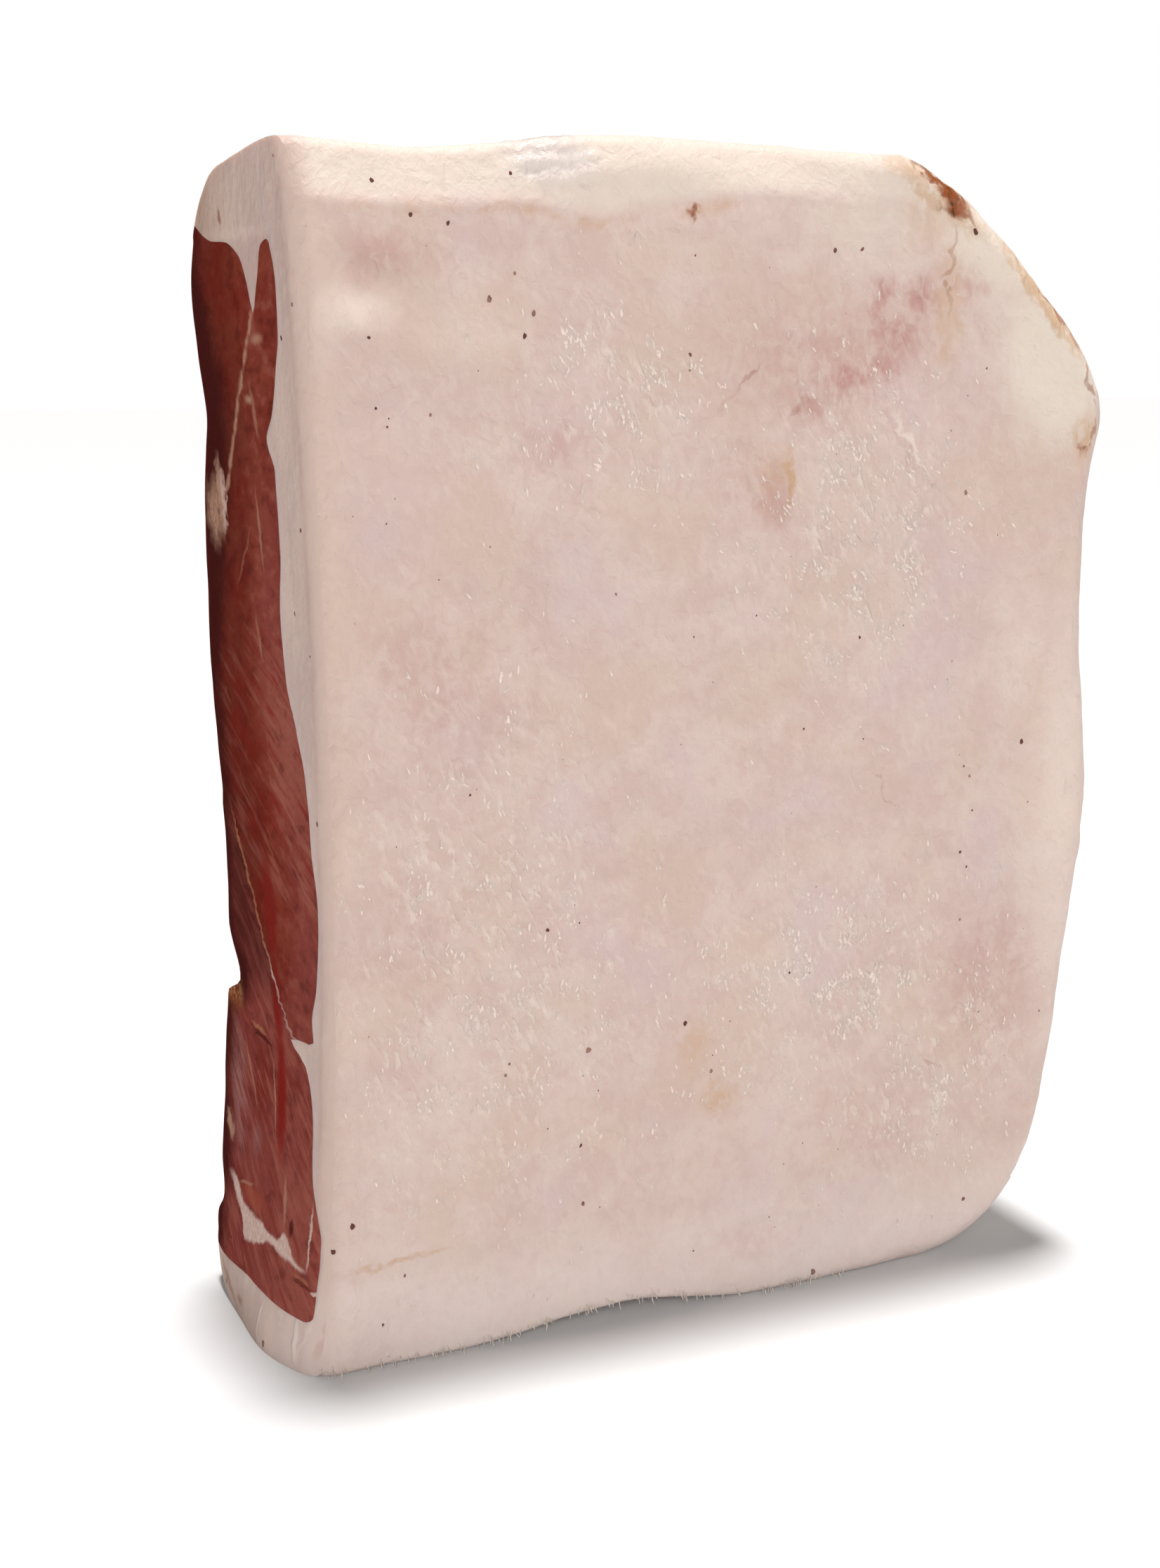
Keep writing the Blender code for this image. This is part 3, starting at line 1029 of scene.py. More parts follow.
# Marks on the cut lean: deep red bands, white streaks by the wedge, fine pale seams, small slits
DEEP_BANDS = (
    ((37.0, 106.0), (31.0, 74.0), 4.4, 0.80),
    ((32.8, 82.0), (26.4, 58.0), 3.4, 0.95),
    ((28.8, 70.0), (22.4, 35.0), 3.4, 1.0),
)
WHITE_STREAKS = (
    ((6.9, 19.0), (6.5, 36.5), 0.55, 0.85),
    ((5.4, 17.0), (1.6, 17.2), 0.60, 0.90),
)
FINE_SEAMS = (
    ((45.0, 26.4), (34.6, 29.2), 0.6, 0.55),
    ((31.6, 59.0), (26.4, 41.6), 0.6, 0.55),
    ((50.0, 60.0), (36.6, 42.4), 0.7, 0.38),
    ((19.9, 38.0), (17.4, 25.0), 1.0, 0.50),
    ((31.0, 198.0), (27.0, 185.0), 1.4, 0.35),
    ((31.5, 178.0), (29.0, 158.0), 0.9, 0.40),
    ((34.0, 170.0), (46.0, 155.0), 0.7, 0.20),
    ((36.0, 152.0), (32.0, 140.0), 0.9, 0.30),
)
FAT_DOTS = (
    ((31.5, 193.6), (3.6, 1.5), 0.75),
    ((24.5, 205.3), (5.0, 1.8), 0.60),
)
SLITS = (
    ((48.0, 61.4), (31.6, 60.0), 0.7, 0.80),
    ((13.6, 17.7), (3.6, 17.8), 0.5, 0.60),
)


def torn_fibres(f):
    """Small pale shreds on the cover, thick in a few fields and thin between them."""
    fields = [f.spot(centre, reach) for centre, reach, _ in FIBRE_FIELDS]
    clusters = f.rises(f.noise(7.0, seed=4.0, detail=4.0), 0.40, 0.60)
    field = f.strongest(fields) * (0.35 + clusters * 0.65) + clusters * 0.25
    turn = {"Vector": f.place, "Angle": math.radians(22.0)}
    leaning = f.node("ShaderNodeVectorRotate", {"rotation_type": "Y_AXIS"}, turn)
    dashes = f.noise(1.4, seed=9.0, stretch=(1.0, 1.0, 0.45), detail=3.0, curl=0.30, place=leaning)
    return f.rises(dashes, 0.46, 0.68) * field


def fat_cover_finish(tones):
    """The outside of the fat: rosy in the middle, cream at the trimmed edges, smoked behind, with painted
    shade in two hollows, painted highlights along two ridges and painted light along the foot.
    """
    f = Finish("cured_fat_outside")
    x, depth, z = f.x, f.depth, f.z
    broad = f.noise(30.0, seed=1.0)
    clouds = f.noise(8.5, seed=2.0, detail=4.0, curl=0.5)
    fine = f.noise(2.2, seed=3.0, stretch=(1.0, 1.0, 0.75), detail=4.0, curl=0.6)
    grain = f.noise(0.60, seed=12.0)
    hue = f.noise(19.0, seed=5.0, detail=3.0)
    uneven = f.strayed(5.0, 1.6, 7.0)
    torn = f.strayed(1.8, 0.9, 8.0) + (uneven - f.place)

    rosy = f.rises(broad * 0.25 + clouds * 0.40 + fine * 0.35, 0.40, 0.60)
    f.colour = f.blend(rosy, tones.fat_pale, tones.fat_rose)
    f.lay(f.rises(hue, 0.50, 0.68) * 0.45, tones.fat_tan)
    f.lay(f.rises(hue, 0.48, 0.32) * 0.45, tones.fat_lilac)
    ragged = f.rises(clouds * 0.35 + fine * 0.65, 0.38, 0.58)
    # Rosy patches, with painted shade in two hollows
    f.lay(f.spots(FLUSHED_AND_PAINTED_SHADE, torn) * (0.48 + ragged * 0.52), tones.fat_flush)
    fibres = torn_fibres(f)
    # Pale patches and torn fibres, with a painted highlight on the ridge at the top left
    f.lay(f.higher(f.spots(PALED_AND_PAINTED_HIGHLIGHT, uneven), fibres * 0.58), tones.fibre)
    f.lay(f.rises(fine, 0.46, 0.28) * 0.40, tones.fat_rose)

    bevel = f.follow(x, BEVEL_LINE)
    above = f.rises(z + fine * 1.8, bevel + 0.2, bevel + 4.5) * f.rises(depth, 16.0, 8.0)
    trimmed = f.stroke((128.0, 246.0), (172.0, 210.0), 15.0, uneven)
    corner = f.higher(f.spots(SHOULDER, uneven), trimmed)
    f.lay(f.higher(above * 0.72, corner * 0.92), tones.fat_cream)
    # Painted light: the smooth band below the foot crease and the lowest part of the cover are paled, in
    # place of light that the floor's shade takes away
    band = f.rises(z, 22.5, 17.0) * f.rises(x, 128.0, 90.0) * 0.26
    foot = f.rises(z, 30.0, 4.0) * (0.28 + f.rises(x, 2.0, 30.0) * 0.22)
    f.lay(f.higher(band, foot), tones.foot_painted_light)
    near_edge = f.rises(x, 16.0, 3.0) * f.rises(z, 232.0, 222.0) * f.rises(z, 14.0, 60.0)
    f.lay(near_edge * 0.40, tones.fat_tan)
    f.lay(f.rises(x, 6.5, 1.8) * f.rises(z, 4.0, 26.0), tones.fat_edge)
    rim = f.rises(depth, 2.5, 7.0) * f.rises(x, 120.0, 150.0)
    f.lay(rim * 0.6, tones.fat_cream)

    under_bevel = f.near(z, bevel - 0.8, 2.2) * f.rises(x, 4.0, 20.0) * f.rises(x, 104.0, 80.0)
    stains = f.strongest([
        under_bevel * f.rises(clouds, 0.40, 0.60) * 0.55,
        f.strokes(SOFT_SMEARS, uneven),
        f.strokes(TORN_SMEARS, torn),
        f.spots(SOFT_STAINS, uneven),
        f.spots(TORN_STAINS, torn),
    ])
    f.lay(stains * f.rises(fine, 0.26, 0.52), tones.fat_gold)
    f.lay(f.spot((100.5, 172.0), (6.0, 10.0), 0.0, torn) * 0.40, tones.fat_flush)
    marks = f.strongest([
        f.strokes(CRACK_AND_RIM, uneven),
        f.strokes(SCRATCHES, torn),
        f.spots(RUST_SPOTS, torn),
    ])
    f.lay(marks * f.rises(fine, 0.24, 0.50), tones.rust)
    # A rosy line beside the diagonal groove, and a painted highlight along its ridge
    f.lay(f.stroke((124.6, 193.6), (138.4, 172.6), 1.2, torn) * 0.22, tones.fat_flush)
    f.lay(f.stroke((126.0, 194.0), (140.0, 173.0), 0.9, torn) * 0.60, tones.fibre)

    shoulder = f.spot((172.0, 206.0), (34.0, 48.0), 0.35)
    smoke_start = 34.0 - f.higher(shoulder * 31.0, f.rises(x, 158.0, 180.0) * 14.0)
    ragged_depth = depth + (clouds - 0.5) * 16.0 + (fine - 0.5) * 9.0
    golden = f.rises(ragged_depth, smoke_start, smoke_start + 10.0)
    browned = f.rises(ragged_depth, smoke_start + 5.0, smoke_start + 22.0)
    f.lay(golden * 0.8, tones.fat_gold)
    f.lay(browned * 0.9, tones.rust)
    crust = f.higher(
        f.stroke((130.0, 241.6), (147.5, 227.6), 2.2, torn),
        f.spot((140.8, 231.6), (4.4, 3.4), 0.2, torn),
    )
    crust = crust * f.rises(fine + crust * 0.40, 0.40, 0.62)
    f.lay(crust, tones.rust)
    charred = crust * f.rises(fine, 0.50, 0.62) * 0.7
    charred = f.higher(charred, browned * f.rises(fine, 0.52, 0.66) * 0.5)
    f.lay(charred, tones.crust_dark)

    wet = f.spot((52.5, 238.5), (13.0, 7.0), 0.3)
    f.lay(wet * 0.45, tones.wet_fat)
    rough = 0.50 - fibres * 0.08 + (clouds - 0.5) * 0.16 - wet * 0.26
    height = fibres * 0.22 + (grain - 0.5) * 0.07 + (fine - 0.5) * (0.52 + wet * 0.4)
    height = height + browned * grain * 0.5
    return f.surface(rough, height, {**FAT_LIGHT, "Coat Roughness": 0.07}, coat=wet * 0.9)


def grain_along(f, angle, size, seed):
    """Long streaks over the cut, leaning up from the depth axis by an angle in degrees."""
    turn = {"Vector": f.place, "Angle": math.radians(-angle)}
    turned = f.node("ShaderNodeVectorRotate", {"rotation_type": "X_AXIS"}, turn)
    return f.noise(size, seed=seed, stretch=(1.0, 0.12, 1.0), detail=2.0, curl=0.35, place=turned)


def fat_border(f):
    """Depth of the fat at the cut, in millimetres."""
    return f.follow(f.z, [(up * 1000.0, at * 1000.0) for up, at in FAT_BORDER])


def cut_fat_finish(tones):
    """The fat where the knife went through it: whitish by the lean, browner at the meat side, darker toward
    the foot deep in the cut with partly painted shade, paler by the foot with painted light, and a painted
    shadow beside a fold.
    """
    f = Finish("cured_fat_cut", on_cut=True)
    depth, z = f.depth, f.z
    soft = f.noise(9.0, seed=21.0, stretch=(1.0, 1.0, 0.35))
    fine = f.noise(1.8, seed=22.0, stretch=(1.0, 1.0, 0.6), detail=3.0)
    uneven = f.strayed(6.0, 0.8, 23.0)
    f.colour = f.blend(f.rises(soft, 0.36, 0.66), tones.cut_fat, tones.cut_fat_deep)
    f.lay(f.rises(fine, 0.50, 0.72) * 0.25, tones.fat_cream)
    border = fat_border(f)
    f.lay(f.near(depth, border - 1.2, 2.2) * 0.35, tones.fat_lilac)
    blush = f.near(depth + (soft - 0.5) * 2.0, 5.0, 2.0) * f.rises(z, 236.0, 214.0) * 0.22
    f.lay(blush, tones.fat_flush)
    f.lay(f.rises(depth, 5.5, 1.8), tones.fat_edge)
    seeping = f.rises(border - depth, 0.8, 0.0) * f.rises(z, 14.0, 22.0) * f.rises(z, 226.0, 220.0)
    f.lay(seeping * 0.35, tones.fat_mauve)
    threads = f.strokes(THREADS, uneven)
    f.lay(threads * 0.6, tones.fibre)
    # Browner toward the meat side where the smoke reached; the second mask, darker toward the foot deep in
    # the cut, is partly smoke and partly painted shade
    yellowed = f.rises(depth + (soft - 0.5) * 12.0, 26.0, 58.0)
    low = f.rises(z, 12.0, 3.0) * f.rises(depth, 16.0, 34.0)
    f.lay(f.higher(yellowed * 0.75, low * 0.45), tones.fat_brown)
    # Painted light: paler toward the foot near the knife edge, in place of light that the floor's shade
    # takes away
    f.lay(f.rises(z, 26.0, 3.0) * f.rises(depth, 24.0, 6.0) * 0.32, tones.foot_painted_light)
    fold = f.stroke((2.0, 17.5), (7.0, 0.0), 0.7, uneven)
    f.lay(fold * 0.32, tones.fibre)
    # A painted shadow in pink beside the pale fold
    f.lay(f.stroke((0.2, 15.0), (2.4, 2.0), 1.0, uneven) * 0.35, tones.fat_flush)
    drop = f.spot((34.5, 4.0), (2.6, 1.6), 0.0, uneven) * 0.7
    stains = f.higher(drop, f.strokes(CUT_STAINS, uneven))
    f.lay(stains, tones.rust)
    rough = 0.48 + (soft - 0.5) * 0.12
    height = (fine - 0.5) * 0.30 + threads * 0.20 + fold * 0.10
    return f.surface(rough, height, FAT_LIGHT)


def cut_lean_finish(tones):
    """The cut muscles: their grain, the seams and wedges of fat between them, a dry margin, a pale film
    that is partly painted sheen, and painted shade in the slits.
    """
    f = Finish("cured_lean_cut", on_cut=True)
    uneven = f.strayed(4.0, 0.45, 31.0)
    wavy = f.strayed(1.2, 0.20, 32.0) + (uneven - f.place)
    _, depth, z = f.parts(wavy)
    clouds = f.noise(11.0, seed=34.0, detail=3.0)
    blotches = f.noise(3.0, seed=35.0, stretch=(1.0, 0.60, 1.0), detail=4.0, curl=0.25)
    fine = f.noise(1.1, seed=33.0, detail=3.0)
    broken = f.rises(f.noise(3.0, seed=38.0), 0.34, 0.56)
    rear = f.follow(f.z, MEAT_SIDE) - depth
    border = fat_border(f)

    behind = f.rises(depth - f.follow(f.z, LONG_SEAM), -0.6, 0.6) * f.rises(f.z, 112.0, 102.0)
    lower = f.rises(f.z, 70.0, 62.0)
    inner = f.rises(f.depth - border, 30.0, 8.0)
    by_fat = f.rises(f.depth - border, 21.0, 6.0) * f.rises(f.z, 196.0, 150.0)
    f.colour = f.blend(f.rises(clouds, 0.36, 0.62), tones.lean_red, tones.lean_rust)
    f.lay(f.strongest([behind * 0.8, lower * 0.80, by_fat * 0.75]), tones.lean_purple)
    lit = 0.14 + f.near(f.z, 126.0, 26.0) * 0.60 + f.rises(f.z, 48.0, 34.0) * 0.26
    f.lay(inner * lit, tones.lean_pale)
    speckled = f.rises(blotches, 0.48, 0.70) * (0.12 + inner * 0.40)
    f.lay(speckled, tones.lean_pale)
    f.lay(f.rises(blotches, 0.47, 0.30) * 0.40, tones.lean_dark)

    fan = f.rises(f.z, 84.0, 102.0) * f.rises(f.z, 156.0, 138.0)
    fan = fan * (0.45 + f.rises(clouds, 0.40, 0.58) * 0.55)
    strands = grain_along(f, 26.0, 2.6, 36.0) * 0.7 + grain_along(f, 26.0, 1.0, 39.0) * 0.3
    f.lay(f.rises(strands, 0.51, 0.60) * fan * (0.62 + inner * 0.38), tones.lean_pale)
    f.lay(f.rises(strands, 0.48, 0.38) * fan * 0.66, tones.lean_bright)
    sinews = grain_along(f, 33.0, 2.4, 37.0) * 0.6 + grain_along(f, 38.0, 1.0, 40.0) * 0.4
    f.lay(f.spot((36.5, 51.0), (8.0, 13.0), 0.0, uneven) * 0.80, tones.lean_red)
    streaked = f.higher(lower, behind * 0.9)
    f.lay(f.rises(sinews, 0.50, 0.62) * streaked * 0.66, tones.lean_pale)
    f.lay(f.rises(sinews, 0.48, 0.38) * lower * 0.44, tones.lean_red)
    # A thin pale film over the lower muscles, partly painted sheen
    film_and_sheen = f.stroke((57.0, 64.0), (44.0, 27.0), 6.5, uneven) * f.rises(sinews, 0.38, 0.60)
    film_and_sheen = f.higher(film_and_sheen * 0.62, f.spot((37.0, 38.5), (5.0, 6.0), 0.0, uneven) * 0.34)
    f.lay(film_and_sheen, tones.lean_film_and_sheen)
    bright = f.spot((44.0, 132.0), (12.0, 9.0), 0.0, uneven) * 0.35
    f.lay(f.higher(f.strokes(DEEP_BANDS, uneven), bright), tones.lean_bright)
    rear_dusk = f.rises(rear, 34.0, 16.0) * f.rises(f.z, 66.0, 76.0)
    rear_dusk = rear_dusk * (0.18 + f.rises(clouds, 0.34, 0.60) * 0.24)
    rear_dusk = f.higher(rear_dusk, f.spot((42.0, 165.0), (7.0, 18.0), 0.0, uneven) * 0.42)
    f.lay(rear_dusk, tones.lean_dark)

    narrow = f.rises(f.z, 160.0, 135.0) * 6.5 + f.rises(f.z, 196.0, 224.0) * 6.0
    dry = f.rises(rear + narrow + (clouds - 0.5) * 11.0 + (fine - 0.5) * 5.0, 19.0, 7.0)
    dusk = behind * f.rises(f.z, 68.0, 80.0) * (0.40 + f.rises(sinews, 0.56, 0.42) * 0.28)
    f.lay(f.higher(dry * 0.94, dusk), tones.lean_dark)
    f.lay(f.rises(f.depth - border, 0.8, 0.0) * 0.35, tones.lean_pale)

    thin = f.near(depth, f.follow(z, UPPER_SEAM), 0.9 + broken * 0.9)
    thin = thin * f.rises(f.z, 168.0, 174.0) * f.rises(f.z, 213.5, 210.0) * (0.25 + broken * 0.45)
    seam_width = 0.42 + f.rises(f.z, 69.0, 63.0) * 1.8
    seam_shown = f.rises(f.z, 63.5, 66.0) * f.rises(f.z, 110.0, 100.0)
    _, soft_depth, soft_z = f.parts(uneven)
    long_line = f.near(soft_depth, f.follow(soft_z, LONG_SEAM), seam_width * 1.5) * seam_shown
    frayed = f.strayed(2.6, 1.3, 44.0) + (wavy - f.place)
    wedge_top = f.follow(depth, WEDGE_TOP)
    wedge = f.rises(wedge_top - z, -0.5, 0.6) * f.rises(z - f.follow(depth, WEDGE_FOOT), -0.5, 0.6)
    wedge = wedge * f.rises(f.depth, 6.5, 9.0) * f.rises(f.depth, 53.0, 46.0)
    white = f.strongest([
        wedge * (0.80 + f.rises(fine, 0.40, 0.60) * 0.20),
        long_line * f.rises(f.z, 84.0, 76.0) * (0.45 + f.near(f.z, 76.0, 5.0) * 0.40),
        f.strokes(WHITE_STREAKS, wavy),
        f.stroke((51.2, 180.0), (50.4, 165.0), 1.6, frayed) * 0.60,
    ])
    torn_patch = f.spot((56.5, 170.0), (7.6, 9.5), 0.2, frayed)
    torn_patch = torn_patch * (0.72 + f.rises(fine, 0.40, 0.62) * 0.28)
    torn_patch = f.higher(torn_patch, f.stroke((53.5, 184.0), (51.5, 163.0), 3.4, frayed))
    faint = f.strongest([
        thin,
        f.strokes(FINE_SEAMS, wavy),
        f.spots(FAT_DOTS, wavy),
        torn_patch * 0.85,
        f.stroke((58.0, 39.0), (51.0, 33.0), 2.2, frayed) * 0.75,
    ])
    f.lay(faint, tones.seam_fat)
    f.lay(white, tones.wedge_fat)
    golden = f.strongest([
        f.stroke((46.0, 62.4), (34.5, 61.4), 0.8, wavy) * 0.60,
        long_line * f.rises(f.z, 74.0, 84.0) * 0.70,
        f.near(f.z, 66.0, 4.5) * f.rises(f.depth, 49.0, 54.0) * f.rises(fine, 0.40, 0.56) * 0.85,
        f.stroke((13.0, 18.6), (3.8, 18.5), 0.5, wavy) * 0.5 * broken,
    ])
    f.lay(golden, tones.seam_gold)
    glowing = f.spot((34.0, 26.5), (11.0, 3.6), 0.2, uneven) * f.rises(z - wedge_top, 0.0, 0.8)
    f.lay(glowing * 0.55, tones.lean_orange)
    ledge = f.near(f.z, 64.5, 5.0) * f.rises(f.depth, 48.0, 53.0) * f.rises(fine, 0.56, 0.42)
    f.lay(ledge * 0.75, tones.rust)
    # Painted shade inside the slits and the gash
    gash = f.spot((14.8, 27.2), (1.2, 2.4), 0.3, wavy) * 0.95
    slits = f.higher(f.strokes(SLITS, wavy), gash)
    f.lay(slits * 0.85, tones.slit_painted_shade)
    rough = 0.44 + (blotches - 0.5) * 0.16 + dry * 0.12
    height = (blotches - 0.5) * 0.24 + (fine - 0.5) * 0.14 + sinews * lower * 0.20
    height = height + strands * fan * 0.30 + white * 0.16 + faint * 0.10 - slits * 0.5
    return f.surface(rough, height, LEAN_LIGHT)


def smoked_finish(tones):
    """The bare meat side: dark smoked crust over furrowed lean, with rust and spice."""
    f = Finish("smoked_meat_side")
    clouds = f.noise(16.0, seed=41.0, stretch=(0.5, 1.0, 1.0), detail=3.0)
    grain = f.noise(3.0, seed=42.0, stretch=(0.35, 1.0, 1.0), detail=4.0)
    crumbs = f.noise(0.9, seed=43.0, detail=3.0)
    f.colour = f.blend(f.rises(clouds, 0.36, 0.64), tones.crust_dark, tones.crust_red)
    f.lay(f.rises(grain, 0.52, 0.72) * 0.7, tones.rust)
    f.lay(f.rises(crumbs, 0.58, 0.70) * 0.6, tones.crust_dark)
    f.lay(f.rises(crumbs, 0.40, 0.30) * 0.35, tones.seam_gold)
    ragged = (grain - 0.5) * 8.0
    rim = f.strongest([
        f.rises(f.z + ragged, 212.0, 224.0),
        f.rises(f.z + ragged, 20.0, 11.0),
        f.rises(f.x + ragged, 152.0, 168.0),
    ])
    f.lay(rim * 0.35, tones.rust)
    rough = 0.58 + (grain - 0.5) * 0.3
    height = (grain - 0.5) * 0.5 + (crumbs - 0.5) * 0.22
    return f.surface(rough, height, CRUST_LIGHT, coat=f.rises(clouds, 0.40, 0.70) * 0.35)


def speck_finish(tones):
    """Specks of pepper and crust: each has its own brown, from dark to pale."""
    f = Finish("speck_brown")
    browns = f.rises(f.noise(7.0, seed=52.0, detail=0.0), 0.38, 0.50)
    f.colour = f.blend(browns, tones.speck_pale, tones.speck)
    return f.surface(0.6, (f.noise(0.5, seed=53.0) - 0.5) * 0.1, TRIM_LIGHT)


def plain_finish(name, colour, roughness, size):
    """Small trimmings: one colour with a little grain."""
    f = Finish(name)
    grain = f.noise(size, seed=51.0, detail=3.0)
    deep = tuple(part * 0.72 for part in colour)
    f.colour = f.blend(f.rises(grain, 0.40, 0.62), deep, tuple(colour))
    uneven = (grain - 0.5) * 0.1
    return f.surface(roughness + uneven, uneven, TRIM_LIGHT)


# Trimmings

TO_BACK = Vector((0.0, 1.0, 0.0))
TO_END = Vector((1.0, 0.0, 0.0))


def surface_tree():
    """A search tree over the dressed ham, to set small things on its surface."""
    points = []
    faces = []
    for name in ("fat_cover_dressed", "lean_dressed"):
        mesh = bpy.data.objects[name].data
        faces.extend([[index + len(points) for index in face.vertices] for face in mesh.polygons])
        points.extend(vertex.co.copy() for vertex in mesh.vertices)
    return BVHTree.FromPolygons(points, faces)


def sliver_shape(bend):
    """A thin torn shred along z, pointed at both ends and bowed outward."""
    stations = ((-0.25, 0.9), (0.05, 1.0), (0.30, 0.6))
    ring = ((-0.5, 0.0), (0.0, -0.35), (0.5, 0.0), (0.0, 0.35))
    points = [(0.0, 0.0, -0.5)]
    for up, width in stations:
        bow = -bend * (1.0 - (2.0 * up) ** 2)
        points += [(width * across, bow + width * out, up) for across, out in ring]
    points.append((0.0, 0.0, 0.5))
    faces = [(0, 1 + (side + 1) % 4, 1 + side) for side in range(4)]
    last = 1 + 4 * (len(stations) - 1)
    for station in range(len(stations) - 1):
        start = 1 + 4 * station
        for side in range(4):
            after = (side + 1) % 4
            faces.append((start + side, start + after, start + 4 + after, start + 4 + side))
    faces += [(last + side, last + (side + 1) % 4, last + 4) for side in range(4)]
    return np.array(points), faces


def on_cover(tree, x, z):
    """Where a straight look along +y meets the ham, and the surface's normal there."""
    return tree.ray_cast(Vector((x + SHIFT[0], -1.0, z)), TO_BACK)[:2]


def on_meat_side(tree, x, z):
    """Where a straight look along -y meets the ham, and the surface's normal there."""
    return tree.ray_cast(Vector((x + SHIFT[0], 1.0, z)), -TO_BACK)[:2]


def on_cut(tree, y, z):
    """Where a straight look along +x meets the ham, and the surface's normal there."""
    return tree.ray_cast(Vector((-1.0, y + SHIFT[1], z)), TO_END)[:2]


def disc_shape(draw):
    """A thin uneven disc about 1 across, lying across y."""
    sides = 10
    reaches = [draw.uniform(0.36, 0.60) for _ in range(sides)]
    points = []
    for side, reach in enumerate(reaches):
        angle = 2.0 * math.pi * side / sides
        points.append((math.cos(angle) * reach, 0.0, math.sin(angle) * reach))
    points += [(0.0, -0.5, 0.0), (0.0, 0.5, 0.0)]
    faces = []
    for side in range(sides):
        after = (side + 1) % sides
        faces += [(side, after, sides), (after, side, sides + 1)]
    return np.array(points), faces


def crumb_shape(draw):
    """A rough crumb about 1 across."""
    form = bmesh.new()
    bmesh.ops.create_icosphere(form, subdivisions=1, radius=0.5)
    points = np.array([vertex.co * draw.uniform(0.75, 1.15) for vertex in form.verts])
    faces = [tuple(vertex.index for vertex in face.verts) for face in form.faces]
    form.free()
    return points, faces


def join_copies(name, copies):
    """One mesh of many small shapes. Each copy is its points and faces, in place."""
    points = []
    faces = []
    for places, shape_faces in copies:
        start = len(points)
        points.extend(places.tolist())
        faces.extend([tuple(index + start for index in face) for face in shape_faces])
    return new_mesh(name, points, faces)


def placed(shape, scale, turn, place):
    """A shape scaled, turned and moved to its place."""
    points, faces = shape
    return (points * np.array(scale)) @ np.array(turn).T + np.array(place), faces


def facing(normal, spin):
    """A turn that points a shape's -y out of the surface and spins it about that direction."""
    out = (-normal).to_track_quat("Y", "Z")
    return (out @ Euler((0.0, spin, 0.0)).to_quaternion()).to_matrix()


def trim(name, mesh, finish):
    """Adds a piece of small trimmings that rides with the ham."""
    smooth(mesh, 60.0)
    keep_inside(mesh)
    mesh.materials.append(finish)
    piece = add_piece(name, mesh)
    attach(piece, BODY)


# Settings

def length(name, description, default):
    return FloatProperty(name=name, description=description, default=default, min=0.0, unit="LENGTH")


def amount(name, description, default, unit="NONE"):
    return FloatProperty(name=name, description=description, default=default, min=0.0, unit=unit)


def count(name, description, default):
    return IntProperty(name=name, description=description, default=default, min=0)


def tone(name, description, default):
    span = {"size": 3, "min": 0.0, "max": 1.0, "subtype": "COLOR"}
    return FloatVectorProperty(name=name, description=description, default=default, **span)


class HamForm(bpy.types.PropertyGroup):
    """Sizes of the fine surface."""

    row_spacing: length("Row Spacing", "Distance between the rows of the fine surface", 0.0011)
    cover_relief: length("Cover Relief", "Height of the soft lumps on the fat cover", 0.00042)
    crust_relief: length("Crust Relief", "Depth of the furrows on the smoked side", 0.0014)


